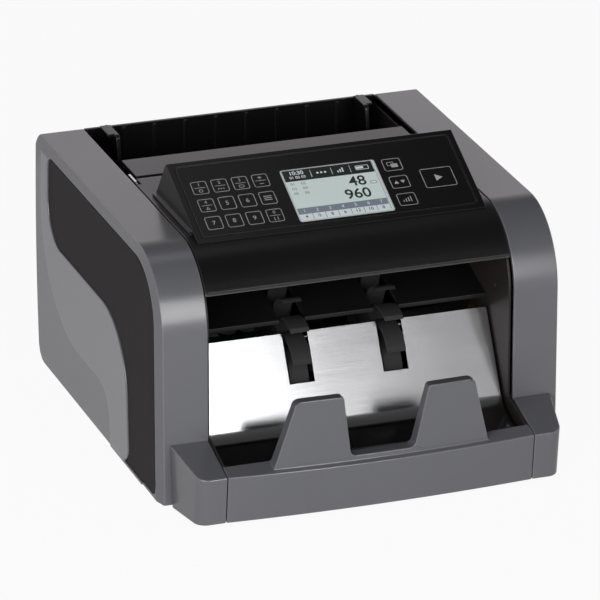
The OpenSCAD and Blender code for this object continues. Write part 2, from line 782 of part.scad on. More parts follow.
// Zinc brackets on the frames, with the pins that the upper cover turns on
bracket_t = 1.5;
bracket_in = frame_in - bracket_t;
module hinge_brackets() color(steel) machine() pair() {
  difference() {
    across(bracket_in, frame_in - run_gap)
      soft_poly([[hinge[0] - 6, frame_top - 12], [seam_y + 10, frame_top - 12], [seam_y + 10, body_h - 1],
        [hinge[0] - 6, body_h - 1]], [2, 2, 2, 5]);
    bar([seam_y + 5, frame_top - 6], boss_bore_r, bracket_in - over, frame_in);
  }
  bar(hinge, pin_r, bracket_in - 8, bracket_in + bracket_t / 2);
}

// Upper cover: the body's own side outline as a thin wall, ending in the front lip and the hinge barrel
cover_half = bay - cover_gap;
cover_t = 2.5;
notch_y = hinge[0] - 9;
module upper_cover() color(black) machine() difference() {
  union() {
    across(-cover_half, cover_half) difference() {
      body_side(0);
      body_side(cover_t);
      translate([-over, 0]) square([body_d + 2 * over, lip_z]);
      translate([hinge[0], 0]) square([body_d, body_h + over]);
    }
    // turned-in edge of the lip
    across(0.5 - inner, inner - 0.5) translate([lip_y, lip_z]) square([6, cover_t]);
    bar(hinge, barrel_r, -cover_half, cover_half);
    // stiffening ribs behind the curved front
    for (x = [-60, 0, 60]) across(x - 1, x + 1) difference() {
      intersection() {
        body_side(cover_t / 2);
        translate([0, lip_z]) square([pod_front_y, body_h]);
      }
      body_side(cover_t + 5);
    }
  }
  pair() translate([bracket_in - 0.5, notch_y, lip_z]) cube([bay, body_d, body_h]);
  bar(hinge, pin_r + run_gap, -cover_half - over, cover_half + over);
  on_face() translate([-pod_well / 2, pod_well_low, -20]) cube([pod_well, pod_well_high - pod_well_low, 40]);
}
lip_y = shoulder_r - sqrt(pow(shoulder_r, 2) - pow(lip_z - body_h + shoulder_r, 2)) + 0.4;
pod_well = 2 * (pod_half - 8);
pod_well_low = 6.5 - face_l;
pod_well_high = -7;

// Frame of the pod's sloping face: x across, y up the slope from the ridge, z out of the face
module on_face() translate([0, pod_top_y, pod_top_z]) rotate([face_a, 0, 0]) children();

// Middles and sizes of the keys on the face, row by row and then the mode keys and the start key
key_first_x = key_edge - pod_half;
mode_x = pod_half - mode_edge;
start_x = pod_half - start_edge;
screen_left = key_first_x + 3 * key_pitch_x + key_w / 2 + screen_gap_left;
screen_right = mode_x - mode_w / 2 - screen_gap_right;
screen_w = screen_right - screen_left;
screen_x = (screen_left + screen_right) / 2;
number_keys = [for (r = [0:2]) for (c = [0:3])
  [key_first_x + c * key_pitch_x, -key_first_y - r * key_pitch_y, key_w, key_h]];
mode_keys = [for (r = [0:2]) [mode_x, -key_first_y - r * key_pitch_y - 0.4, mode_w, key_h - 0.4]];
start_key = [start_x, -key_first_y - key_pitch_y - 0.5, start_w, start_h];
keys = concat(number_keys, mode_keys, [start_key]);

module key_windows(gap) for (k = keys) translate([k[0], k[1]])
  soft_rect(k[2] + 2 * gap, k[3] + 2 * gap, key_r + gap);
module screen_window(gap) translate([screen_x, -screen_y])
  soft_rect(screen_w + 2 * gap, screen_h + 2 * gap, key_r + gap);
module foil_outline(gap) translate([0, -face_l / 2])
  soft_rect(2 * (pod_half - foil_margin) + 2 * gap, face_l - 2 * foil_margin + 2 * gap, 2 + gap);

screen_t = 1.5;
post_gap = 4.2;
post_at = [[post_gap - pod_well / 2, 11 - key_first_y], [pod_well / 2 - post_gap, 11 - key_first_y],
  [screen_left - post_gap, pod_well_low + 2], [start_x - start_w / 2 - post_gap, pod_well_low + 2]];
module control_pod() color(black) machine() {
  difference() {
    union() {
      across(-pod_half, pod_half) difference() {
        soft_poly(pod_points, [0, 0, 1.2, 1.5, 0]);
        body_side(0);
      }
      across(-pod_half - plinth_out, pod_half + plinth_out) difference() {
        polygon([[pod_front_y + 8, body_h - 4], [pod_front_y + 12, body_h + plinth_h],
          [pod_back_y, body_h + plinth_h], [pod_back_y + 1, body_h - 4]]);
        body_side(0);
      }
    }
    across(wall - pod_half, pod_half - wall)
      polygon([[pod_front_y + 22, body_h - over], for (i = [2:3]) inner_point(pod_points, i, wall) - [0, 0.5],
        [pod_back_y - wall, body_h - over]]);
    on_face() {
      translate([-pod_well / 2, pod_well_low, -20]) cube([pod_well, pod_well_high - pod_well_low, 20 - wall]);
      rise(-foil_t, over) foil_outline(seat / 4);
      rise(-wall - over, over) {
        key_windows(key_gap);
        screen_window(-1);
      }
      rise(-screen_t, over) screen_window(seat / 4);
    }
  }
  on_face() for (p = post_at) translate([p[0], p[1], -board_depth])
    cylinder(r = 2, h = board_depth - wall / 2);
}

module keypad_foil() color(black) machine() on_face() rise(-foil_t, 0) difference() {
  foil_outline(0);
  key_windows(key_gap);
  screen_window(seat / 4);
}

module display_window() color([0.7, 0.78, 0.74]) machine() on_face() rise(-screen_t, 0) screen_window(0);

// Board under the face, with a dome below each key and the display module
stem_l = 3.2;
dome_h = board_depth - stem_l - key_travel - 0.1;
module control_board() color(green) machine() on_face() {
  difference() {
    rise(-board_depth - board_t, -board_depth)
      translate([0, -face_l / 2 + 1]) square([pod_well - 2, face_l - 17], center = true);
    for (p = post_at) translate([p[0], p[1], -board_depth - board_t - over])
      cylinder(r = 1, h = board_t + over);
  }
  for (k = keys) translate([k[0], k[1], -board_depth]) cylinder(r = 3, h = dome_h);
  translate([screen_x, -screen_y, 0]) rise(-board_depth - seat / 4, -wall - 0.1)
    square([screen_w + 4, screen_h - 2], center = true);
}

// A key's pad with the stem that reaches its dome
module key(i) color(black) machine() on_face() translate([keys[i][0], keys[i][1], 0]) {
  rise(-key_t, 0) soft_rect(keys[i][2], keys[i][3], key_r);
  rise(-stem_l, -key_t + 0.1) circle(2);
}

// Strip in front of the hopper, with the wall that the notes slide down and its ears on the frames
strip_half = bracket_in - strip_gap;
strip_y = [seam_y + cover_gap, seam_y + cover_gap + strip_d];
module hopper_lip() color(black) machine() {
  wall_low = [strip_y[1] - 6, retard[1] + retard_r + 0.5];
  across(-strip_half, strip_half) {
    soft_poly([[strip_y[0], body_h - 3], [strip_y[1] - 1, body_h - 3], [strip_y[1], body_h],
      [strip_y[0], body_h]], [0, 0, 1, 0.6]);
    polygon([[strip_y[1] - wall, body_h - 2], wall_low - [wall, 0], wall_low,
      [strip_y[1] - 0.4, body_h - 2]]);
    translate([strip_y[0] + 1, body_h - 10]) square([2, 8]);
  }
  pair() difference() {
    union() {
      across(strip_half - 4, strip_half - 1)
        polygon([[strip_y[0] + 13, body_h - 2], [strip_y[0] + 13, body_h - 24], [strip_y[1] - 5, body_h - 24],
          [strip_y[1] - 1, body_h - 2]]);
      across(strip_half - 2, inner) translate([strip_y[0] + 13, body_h - 24]) square([11, 10]);
    }
    bar([strip_y[0] + 18.5, body_h - 19], boss_bore_r, strip_half - 5, bay);
  }
}

// Sloping hopper floor with slots for the pickup rollers and the necks of the note guides
slot_gap = 1.5;
module hopper_floor() color(black) machine() {
  difference() {
    union() {
      across(-inner, inner) translate([floor_front_y, floor_front_z]) rotate(floor_a)
        translate([0, -floor_t]) square([floor_l, floor_t]);
      // flanges that take the frame screws
      pair() across(inner - 2, inner)
        polygon([[floor_front_y + 2, floor_front_z - 6], [floor_front_y + 2, floor_front_z],
          [rest_y - 16, floor_z(rest_y - 16) - 1], [rest_y - 16, floor_z(rest_y - 16) - 7]]);
    }
    pair() translate([roller_x - roller_w / 2 - slot_gap, pickup[0] - pickup_r - 2, pickup[1]])
      cube([roller_w + 2 * slot_gap, 2 * pickup_r + 2, 2 * pickup_r]);
    pair() translate([guide_x - guide_in - 2, guide_slot[0] - 0.6, 0])
      cube([guide_in + guide_outward + 10, guide_slot[1] - guide_slot[0] + 1.2, body_h]);
  }
}

// Backrest of the hopper, ribbed on the side of the notes
module backrest() color(black) machine() {
  low_z = floor_z(rest_y);
  across(-inner, inner) polygon([[rest_y + 0.6, low_z - 4], [rest_y + 0.6, low_z],
    [rear_y - wall, body_h - 0.5], [rear_y, body_h - 0.5], [rear_y, low_z - 4]]);
  // flange that closes the gap behind the frames
  translate([cover_gap - bay, rear_y - wall, low_z - 4])
    cube([bay_w - 2 * cover_gap, wall, body_h - 0.5 - low_z + 4]);
  pitch = 2 * (guide_x - 10) / (backrest_ribs - 1);
  for (i = [0:backrest_ribs - 1]) across(i * pitch - guide_x + 9, i * pitch - guide_x + 11)
    polygon([[rest_y - 0.4, low_z + 1], [rear_y - wall - 1, body_h - 2], [rear_y - wall + 1, body_h - 2],
      [rest_y + 1.6, low_z + 1]]);
}

module guide_rod() color(steel) machine() bar(rod_at, guide_rod_r, -frame_out, frame_out);

// Right note guide: a leaning plate with a top flange, its neck through the floor and its block on the rod
guide_t = 2.5;
neck_w = 5.5;
block_w = 16;
module note_guide() color(black) machine() {
  top_z = body_h + guide_rise;
  rear = rest_y - 3;
  block_top = floor_z(guide_slot[0]) - floor_t / cos(floor_a) - 2;
  difference() {
    union() {
      across(guide_x, guide_x + guide_t)
        soft_poly([[guide_slot[0] - 16, floor_z(guide_slot[0] - 16) + 0.6], [rear, floor_z(rear) + 0.6],
          [rear + 2, top_z], [rear - 20, top_z]], [2, 1, 2, 3]);
      across(guide_x + guide_t / 2, guide_x + guide_t + guide_flange)
        translate([rear - 16, top_z - 2]) square([17, 2]);
      across(guide_x, guide_x + neck_w) translate([guide_slot[0], block_top - 1])
        square([guide_slot[1] - guide_slot[0], floor_z(guide_slot[1]) + 6 - block_top]);
      translate([guide_x + neck_w - block_w, rod_at[0] - 5, rod_at[1] - 5])
        cube([block_w, 10, block_top - rod_at[1] + 5]);
    }
    bar(rod_at, guide_rod_r + run_gap, guide_x - block_w, guide_x + block_w);
  }
}
module right_note_guide() note_guide();
module left_note_guide() mirror([1, 0, 0]) note_guide();

// Rear cover under the backrest: vents, the opening of the inlet and the bezel of the switch
inlet_w = 27;
inlet_h = 20;
rear_top = floor_z(rest_y) - 4.3;
bezel = 2;
switch_deep = 14;
switch_pin_r = 1.5;
switch_at = [rear_y - 1.5, inlet_z];
module rear_cover() color(dark) machine() {
  x_max = bay - cover_gap;
  difference() {
    union() {
      translate([-x_max, rear_y - wall, panel_foot + pan_t + seat])
        cube([2 * x_max, wall, rear_top - panel_foot - pan_t - seat]);
      translate([switch_x, 0, inlet_z]) back(rear_y - switch_deep, rear_y + 1)
        soft_rect(switch_w + 2 * (bezel + 0.4), switch_h + 2 * (bezel + 0.4), 2);
    }
    translate([inlet_x, 0, inlet_z]) back(rear_y - wall - over, rear_y + over)
      square([inlet_w + 2 * seat, inlet_h + 2 * seat], center = true);
    translate([switch_x, 0, inlet_z]) back(rear_y - switch_deep + bezel, rear_y + 2)
      square([switch_w + 0.8, switch_h + 0.8], center = true);
    bar(switch_at - [4, 0], switch_pin_r + run_gap, switch_x - switch_w / 2 - 1.8,
      switch_x + switch_w / 2 + 1.8);
    // vents
    pitch = 2 * (x_max - 22) / (vent_n - 1);
    for (i = [0:vent_n - 1]) for (z = [rear_top - 44, rear_top - 22])
      translate([i * pitch - x_max + 22, 0, z]) back(rear_y - wall - over, rear_y + over)
        soft_rect(3, 18, 1.4);
  }
}

// Mains inlet: flange, hollow socket and three flat contacts
inlet_rim = 3.25;
inlet_rim_t = 1.8;
inlet_deep = 14.5;
socket_x = inlet_w / 2 - 1.7;
socket_z = inlet_h / 2 - 2;
socket_cut = 4.8;
contact_x = 7;
contact = [2, 4];
contact_tip = 4.6;
module power_inlet() color(black) machine() translate([inlet_x, 0, inlet_z]) {
  difference() {
    union() {
      back(rear_y, rear_y + inlet_rim_t) soft_rect(inlet_w + 2 * inlet_rim, inlet_h + 2 * inlet_rim, 3);
      back(rear_y - inlet_deep - wall, rear_y + fit) square([inlet_w, inlet_h], center = true);
    }
    back(rear_y - inlet_deep, rear_y + inlet_rim_t + over)
      soft_poly([[-socket_x, -socket_z], [socket_x, -socket_z], [socket_x, socket_z - socket_cut],
        [socket_x - socket_cut, socket_z], [socket_cut - socket_x, socket_z],
        [-socket_x, socket_z - socket_cut]], [1, 1, 1, 1, 1, 1]);
  }
  for (c = [[-contact_x, -2], [contact_x, -2], [0, 2]]) translate([c[0], 0, c[1]])
    back(rear_y - inlet_deep - over, rear_y + inlet_rim_t - contact_tip) square(contact, center = true);
}

// Rocker of the power switch, turning on a pin in the bezel
module power_switch() color(black) machine() {
  across(switch_x - switch_w / 2, switch_x + switch_w / 2) translate(switch_at - [4, 0]) intersection() {
    rotate(-switch_tilt / 2) polygon([[-5, 2 - switch_h / 2], [3.6, 1.2 - switch_h / 2], [2.6, 0],
      [3.6, switch_h / 2 - 1.2], [-5, switch_h / 2 - 2]]);
    circle(switch_h / 2 - 0.1);
  }
  bar(switch_at - [4, 0], switch_pin_r, switch_x - switch_w / 2 - 1.4, switch_x + switch_w / 2 + 1.4);
}

// Combined supply and main board on standoffs of the pan
supply_half = inner - 10.8;
supply_y = [feed_y - 14, rest_y - 25];
standoff_h = 6;
standoff_r = 3;
standoff_in = 6;
transformer = [34, 30, 26];
capacitor_r = 6;
capacitor_h = 22;
heat_sink = [50, 3, 20];
processor = [22, 22, 2];
connector = [10, 6, 8];
module main_board() color(green) machine() {
  z0 = panel_foot + pan_t;
  part_z = z0 + standoff_h + over;
  standoffs = [for (x = [standoff_in - supply_half, supply_half - standoff_in])
    for (y = supply_y + standoff_in * [1, -1]) [x, y, z0]];
  difference() {
    translate([-supply_half, supply_y[0], z0 + standoff_h])
      cube([2 * supply_half, supply_y[1] - supply_y[0], board_t]);
    for (p = standoffs) translate(p) cylinder(r = boss_bore_r, h = 2 * standoff_h);
  }
  for (p = standoffs) translate(p) cylinder(r = standoff_r, h = standoff_h + fit);
  // transformer, capacitors, heat sink, processor and connectors
  translate([14 - supply_half, supply_y[0] + 14, part_z]) cube(transformer);
  for (x = [58, 72]) translate([x - supply_half, supply_y[0] + 30, part_z])
    cylinder(r = capacitor_r, h = capacitor_h);
  translate([10 - supply_half, supply_y[1] - 18, part_z]) cube(heat_sink);
  translate([20, supply_y[0] + 20, part_z]) cube(processor);
  for (i = [0:4]) translate([8 + i * 14, supply_y[1] - 12, part_z]) cube(connector);
}

module drive_motor() color(steel) machine() difference() {
  union() {
    bar(motor, motor_r, frame_in - fit - motor_l, frame_in - fit);
    bar(motor, motor_boss_r, frame_in - over, frame_out + seat);
    bar(motor, motor_r - 8, frame_in - motor_l - 6, frame_in - motor_l);
  }
  bar(motor, 3 + run_gap, frame_in - motor_l / 2, bay);
}

// Flanged pulley with a groove for the belt
module pulley(p, r, x0) {
  bar(p, r, x0, x0 + pulley_w);
  for (x = [x0, x0 + pulley_w - 0.7]) bar(p, r + flange_rise, x, x + 0.7);
}
module motor_pulley() color(steel) machine() {
  pulley(motor, motor_pulley_r, plane[0]);
  bar(motor, 3, frame_in - motor_l / 2 + over, plane[0] + over);
}

// Side outline of a belt round two pulleys
module loop_side(a, ra, b, rb) {
  d = norm(b - a);
  turn = atan2(b[1] - a[1], b[0] - a[0]);
  lean = acos((ra - rb) / d);
  translate(a) circle(ra);
  translate(b) circle(rb);
  polygon([for (e = [[a, ra, lean], [b, rb, lean], [b, rb, -lean], [a, ra, -lean]])
    e[0] + e[1] * [cos(turn + e[2]), sin(turn + e[2])]]);
}
module belt(a, ra, b, rb, x0) translate([x0 + (pulley_w - belt_w) / 2, 0, 0]) across(0, belt_w) difference() {
  loop_side(a, ra + belt_gap + belt_t, b, rb + belt_gap + belt_t);
  loop_side(a, ra + belt_gap, b, rb + belt_gap);
}
module drive_belts() color(rubber) machine() {
  belt(motor, motor_pulley_r, feed, feed_pulley_r, plane[0]);
  belt(feed, pulley_r, pickup, pulley_r, plane[1]);
  belt(feed, pulley_r, transport, pulley_r, plane[2]);
  belt(transport, small_pulley_r, stacker, stacker_pulley_r, plane[1]);
}

// Flanged bushes that the four driven shafts run in
module shaft_bushes() color([0.7, 0.5, 0.3]) machine() pair() for (p = [pickup, feed, transport, stacker])
  difference() {
    union() {
      bar(p, bush_r, frame_in - 0.3, frame_out + 0.2);
      bar(p, bush_r + 1.5, frame_in - 1.5, frame_in - run_gap);
    }
    bar(p, shaft_r + run_gap, frame_in - 2, bay);
  }

module shaft(p, end) bar(p, shaft_r, -bay, end + pulley_w);

// Rubber tread with grooves, a pair to a shaft
module rollers(p, r, w, x) pair() difference() {
  bar(p, r, x - w / 2, x + w / 2);
  bar(p, shaft_r, x - w / 2 - over, x + w / 2 + over);
  step = w / (roller_grooves + 1);
  for (i = [1:roller_grooves]) difference() {
    bar(p, r + over, x - w / 2 + i * step - 0.6, x - w / 2 + i * step + 0.6);
    bar(p, r - 1, x - w / 2, x + w / 2);
  }
}

module pickup_shaft() color(steel) machine() {
  shaft(pickup, plane[1]);
  pulley(pickup, pulley_r, plane[1]);
}
module pickup_rollers() color(rubber) machine() rollers(pickup, pickup_r, roller_w, roller_x);
module feed_shaft() color(steel) machine() {
  shaft(feed, plane[2]);
  pulley(feed, feed_pulley_r, plane[0]);
  pulley(feed, pulley_r, plane[1]);
  pulley(feed, pulley_r, plane[2]);
}
module feed_rollers() color(rubber) machine() rollers(feed, feed_r, roller_w, roller_x);
module transport_shaft() color(steel) machine() {
  shaft(transport, plane[2]);
  pulley(transport, small_pulley_r, plane[1]);
  pulley(transport, pulley_r, plane[2]);
}
module transport_rollers() color(rubber) machine() rollers(transport, transport_r, roller_w, transport_x);
module stacker_shaft() color(steel) machine() {
  shaft(stacker, plane[1]);
  pulley(stacker, stacker_pulley_r, plane[1]);
}

// Curved flexible fin: part of a ring that leaves the hub and trails to the tip radius
module fin() intersection() {
  translate([0, fin_curve]) difference() {
    circle(fin_curve + fin_t / 2);
    circle(fin_curve - fin_t / 2);
  }
  difference() {
    circle(fin_tip_r);
    circle(fin_hub_r - 1);
  }
  translate([0, -fin_curve]) square(3 * fin_curve);
}
module stacker_wheels() color(rubber) machine() pair() across(wheel_x - fin_w / 2, wheel_x + fin_w / 2)
  translate(stacker) difference() {
    union() {
      circle(fin_hub_r);
      for (i = [0:fins - 1]) rotate(i * 360 / fins) fin();
    }
    circle(shaft_r);
  }

// Retard rollers stand still over the feed rollers, on a rod held by the frames
module retard_rollers() color(rubber) machine() {
  bar(retard, retard_rod_r, -frame_out, frame_out);
  pair() bar(retard, retard_r, roller_x - roller_w / 2, roller_x + roller_w / 2);
}

// Lower note guide: flat across the transport rollers, then sloping down to the stacker plate
module lower_guide() color(black) machine() {
  top = path_z - 1;
  t = 2.5;
  knee = transport[0] - transport_r - 2;
  low = [plate_end[0] + 4, plate_end[1] + 7];
  rear = feed[0] - feed_r + 6;
  difference() {
    union() {
      across(-inner, inner)
        polygon([[rear, top - t], [rear, top], [knee, top], low, low - [0, t], [knee, top - t]]);
      pair() across(inner - 2, inner)
        polygon([[rear - 4, top - 14], [rear - 4, top - 1], [knee + 8, top - 1], [knee + 8, top - 14]]);
      for (x = [-10, 10]) across(x - 1, x + 1)
        polygon([[rear - 2, top - 8], [rear - 2, top - 1], [knee, top - 1], [knee, top - 8]]);
    }
    pair() translate([transport_x - roller_w / 2 - slot_gap, transport[0] - transport_r, transport[1]])
      cube([roller_w + 2 * slot_gap, 2 * transport_r, 2 * transport_r]);
    pair() translate([wheel_x - wheel_slot / 2, low[0] - over, stacker[1]])
      cube([wheel_slot, knee - low[0] + 12, fin_tip_r + 10]);
    pair() bar(transport, bush_r + 3, inner - 3, bay);
  }
}

// Upper note guide under the cover: the ribs that carry it hold the pinch rollers' axle
guide_rib = [inner - 7, inner - 4.5];
pinch_axle_r = 2.5;
module upper_guide() color(black) machine() {
  low = path_z + 2;
  t = 2.5;
  front = [pod_front_y + 2, lip_z - 1];
  knee = transport[0] - transport_r;
  rear = seam_y - 14;
  under = body_h - cover_t - 0.05;
  difference() {
    union() {
      across(-guide_rib[1], guide_rib[1]) polygon([[rear, low], [rear, low + t], [knee, low + t],
        front + [0, t], front, [knee, low]]);
      pair() across(guide_rib[0], guide_rib[1])
        polygon([[rear, low + 1], [rear, under], [knee - 22, under], [knee - 22, low + t + 4],
          [knee, low + 1]]);
    }
    pair() translate([transport_x - roller_w / 2 - slot_gap, pinch[0] - pinch_r - 1, low - over])
      cube([roller_w + 2 * slot_gap, 2 * pinch_r + 2, t + 2 * over]);
    bar(pinch, pinch_axle_r + run_gap, -bay, bay);
  }
}

module pinch_rollers() color(rubber) machine() {
  bar(pinch, pinch_axle_r, -guide_rib[1], guide_rib[1]);
  pair() bar(pinch, pinch_r, transport_x - roller_w / 2, transport_x + roller_w / 2);
}

base_pan();
feet();
left_side_panel();
right_side_panel();
left_inlay();
right_inlay();
left_tray_end();
right_tray_end();
front_stop();
stacker_plate();
left_frame();
right_frame();
hinge_brackets();
hopper_lip();
hopper_floor();
backrest();
guide_rod();
left_note_guide();
right_note_guide();
rear_cover();
power_inlet();
power_switch();
main_board();
drive_motor();
motor_pulley();
drive_belts();
shaft_bushes();
lower_guide();
retard_rollers();
pickup_shaft();
pickup_rollers();
feed_shaft();
feed_rollers();
transport_shaft();
transport_rollers();
stacker_shaft();
stacker_wheels();
upper_cover();
control_pod();
keypad_foil();
display_window();
control_board();
upper_guide();
pinch_rollers();
key(0);  // key_1
key(1);  // key_2
key(2);  // key_3
key(3);  // key_add
key(4);  // key_4
key(5);  // key_5
key(6);  // key_6
key(7);  // key_batch
key(8);  // key_7
key(9);  // key_8
key(10);  // key_9
key(11);  // key_0
key(12);  // key_mix
key(13);  // key_sort
key(14);  // key_count
key(15);  // key_start
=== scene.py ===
# %% [markdown]
# # A desktop banknote counter
# A stack goes into the hopper at the back, rollers pull it apart sheet by sheet under the cover, and soft
# wheels lay the sheets on a polished plate at the front. The CAD model holds every piece at its real size.
# This lesson gives those pieces their looks: rounded edges, moulded grain, prints, screws and studio light.

# %% Load the frame
import json
import math

import bmesh
import bpy
from mathutils import Matrix, Vector


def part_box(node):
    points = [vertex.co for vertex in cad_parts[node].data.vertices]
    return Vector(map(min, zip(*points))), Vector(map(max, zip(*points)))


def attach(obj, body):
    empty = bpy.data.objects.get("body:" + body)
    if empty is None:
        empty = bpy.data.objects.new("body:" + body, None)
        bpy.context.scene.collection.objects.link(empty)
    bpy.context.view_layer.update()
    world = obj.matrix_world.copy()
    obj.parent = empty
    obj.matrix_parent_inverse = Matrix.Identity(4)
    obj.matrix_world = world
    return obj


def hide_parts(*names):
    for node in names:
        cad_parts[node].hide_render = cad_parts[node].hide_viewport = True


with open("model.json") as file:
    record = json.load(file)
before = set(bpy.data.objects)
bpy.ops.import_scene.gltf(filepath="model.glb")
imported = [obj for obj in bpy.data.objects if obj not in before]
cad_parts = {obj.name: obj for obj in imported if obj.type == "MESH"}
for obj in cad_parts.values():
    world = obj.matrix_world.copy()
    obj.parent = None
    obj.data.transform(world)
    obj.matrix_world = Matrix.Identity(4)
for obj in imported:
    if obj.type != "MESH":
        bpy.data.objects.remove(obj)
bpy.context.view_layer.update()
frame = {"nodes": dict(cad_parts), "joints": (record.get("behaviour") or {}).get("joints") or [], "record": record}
nodes = frame["nodes"]
joints = {j["name"]: j for j in frame["joints"]}
body_of = {n: b for b, members in frame["record"]["behaviour"]["bodies"].items() for n in members}
slot_of = {p["node"]: p["material_slot"] for p in frame["record"]["subparts"]}
MM = 0.001

# %% [markdown]
# ## The camera
# A product shot is taken from far away with a long lens, so that edges that are parallel stay nearly so.
# The place and the two angles below are those of the reference picture. A shorter lens
# from nearer would also fill the frame, but the far corner would shrink.

# %% Camera
VIEW_AZIMUTH = -19.465
VIEW_ELEVATION = 21.872
VIEW_PLACE = (-1.04495, -2.94731, 1.33757)
LENS = 330.0
SENSOR = 36.0
camera = bpy.data.objects.new("photo_view", bpy.data.cameras.new("photo_view"))
camera.data.lens = LENS
camera.data.sensor_width = SENSOR
camera.location = VIEW_PLACE
camera.rotation_euler = (math.radians(90 - VIEW_ELEVATION), 0, math.radians(VIEW_AZIMUTH))
bpy.context.scene.collection.objects.link(camera)
bpy.context.scene.camera = camera
bpy.context.scene.view_settings.view_transform = "Standard"
print("camera", VIEW_PLACE, "lens", LENS)

# %% [markdown]
# ## The studio
# The floor is a pale sheet that runs out of sight. Rays that come from the camera or through a glass see
# most of it as plain white, and rays from a reflection see about half of it so, because side walls that
# mirror a whole white floor turn too pale. The rest is a real surface, so the contact shadow stays. The
# world is white around the horizon and dim overhead: level tops then mirror the white at a flat angle, while
# the steep black face of the pod mirrors the dim ceiling and stays black.

# %% Rays that see plain white


def seen_rays(tree, straight=1.0, mirrored=1.0):
    """Share of white that a ray sees: one share straight or through glass, one in a reflection."""
    path = tree.nodes.new("ShaderNodeLightPath")
    shares = (("Is Camera Ray", straight), ("Is Transmission Ray", straight), ("Is Glossy Ray", mirrored))
    total = None
    for ray, share in shares:
        part = tree.nodes.new("ShaderNodeMath")
        part.operation = "MULTIPLY"
        part.inputs[1].default_value = share
        tree.links.new(path.outputs[ray], part.inputs[0])
        if total is None:
            total = part.outputs[0]
            continue
        larger = tree.nodes.new("ShaderNodeMath")
        larger.operation = "MAXIMUM"
        tree.links.new(total, larger.inputs[0])
        tree.links.new(part.outputs[0], larger.inputs[1])
        total = larger.outputs[0]
    return total


print("ray helper ready")

# %% Floor
FLOOR_HALF = 5.0
FLOOR_DROP = 0.1
FLOOR_WHITE = 0.80
FLOOR_GLOW = 0.94
FLOOR_MIRRORED = 0.52


def make_floor():
    bm = bmesh.new()
    bmesh.ops.create_grid(bm, x_segments=1, y_segments=1, size=FLOOR_HALF)
    bmesh.ops.translate(bm, verts=bm.verts, vec=(0, 0, -FLOOR_DROP * MM))
    mesh = bpy.data.meshes.new("floor")
    bm.to_mesh(mesh)
    bm.free()
    floor = bpy.data.objects.new("floor", mesh)
    bpy.context.scene.collection.objects.link(floor)
    paper = bpy.data.materials.new("pale_floor")
    paper.use_nodes = True
    tree = paper.node_tree
    tree.nodes.remove(tree.nodes["Principled BSDF"])
    matt = tree.nodes.new("ShaderNodeBsdfDiffuse")
    matt.inputs["Color"].default_value = (FLOOR_WHITE, FLOOR_WHITE, FLOOR_WHITE, 1)
    glow = tree.nodes.new("ShaderNodeEmission")
    mix = tree.nodes.new("ShaderNodeMixShader")
    tree.links.new(seen_rays(tree, FLOOR_GLOW, FLOOR_MIRRORED), mix.inputs[0])
    tree.links.new(matt.outputs[0], mix.inputs[1])
    tree.links.new(glow.outputs[0], mix.inputs[2])
    tree.links.new(mix.outputs[0], tree.nodes["Material Output"].inputs["Surface"])
    mesh.materials.append(paper)
    return floor


floor = make_floor()
print(floor.name, "is", 2 * FLOOR_HALF, "m wide")

# %% World
WORLD_LIGHT = 0.46
SKY = ((0.00, (1.00, 0.95, 0.99)), (0.42, (1.00, 0.95, 0.99)), (0.60, (0.12, 0.12, 0.122)),
       (1.00, (0.06, 0.06, 0.061)))


def make_world():
    world = bpy.data.worlds.new("studio")
    bpy.context.scene.world = world
    world.use_nodes = True
    tree = world.node_tree
    place = tree.nodes.new("ShaderNodeTexCoord")
    height = tree.nodes.new("ShaderNodeSeparateXYZ")
    fade = tree.nodes.new("ShaderNodeValToRGB")
    steps = fade.color_ramp.elements
    while len(steps) < len(SKY):
        steps.new(1.0)
    for step, (height_share, colour) in zip(steps, SKY):
        step.position = height_share
        step.color = (*colour, 1)
    level = tree.nodes.new("ShaderNodeMapRange")
    level.inputs["To Min"].default_value = WORLD_LIGHT
    level.inputs["To Max"].default_value = 1.0
    sky = tree.nodes["Background"]
    tree.links.new(place.outputs["Generated"], height.inputs[0])
    tree.links.new(height.outputs["Z"], fade.inputs[0])
    tree.links.new(fade.outputs[0], sky.inputs["Color"])
    tree.links.new(seen_rays(tree), level.inputs["Value"])
    tree.links.new(level.outputs[0], sky.inputs["Strength"])


make_world()
print("world with", len(SKY), "steps of sky")

# %% [markdown]
# ## The lamps
# A tall, narrow soft box in front on the right draws the bright band along the left panel's shoulder and is
# mirrored in the steel plate. It is bright, so it is kept narrow: a surface seen at a flat angle mirrors it
# almost whole. A wide, dim one lights the fronts evenly, and a nearer one on the left opens up the side
# panel. These three stand low, so level tops get little of their light and stay darker than the fronts. A
# dim one overhead is there only for its soft reflection in the pod. Small lamps would give hard shadows,
# which a catalogue picture avoids.

# %% Lamps
SOFTBOXES = {
    "front_box": ((0.50, -2.02, 0.80), (0.24, 1.20), 6.8),
    "wide_box": ((-0.20, -2.40, 0.70), (2.2, 1.1), 8.0),
    "fill_box": ((-0.80, -1.00, 0.36), (0.8, 0.6), 7.6),
    "pod_box": ((0.30, 0.50, 2.00), (0.5, 0.5), 0.6),
}
AIM = Vector((0, 0, 0.08))


def make_softbox(name, place, size, watts):
    lamp = bpy.data.lights.new(name, "AREA")
    lamp.shape = "RECTANGLE"
    lamp.size, lamp.size_y = size
    lamp.energy = watts
    stand = bpy.data.objects.new(name, lamp)
    stand.location = place
    stand.rotation_euler = (AIM - Vector(place)).to_track_quat("-Z", "Y").to_euler()
    bpy.context.scene.collection.objects.link(stand)


for name, (place, size, watts) in SOFTBOXES.items():
    make_softbox(name, place, size, watts)
print(len(SOFTBOXES), "soft boxes")
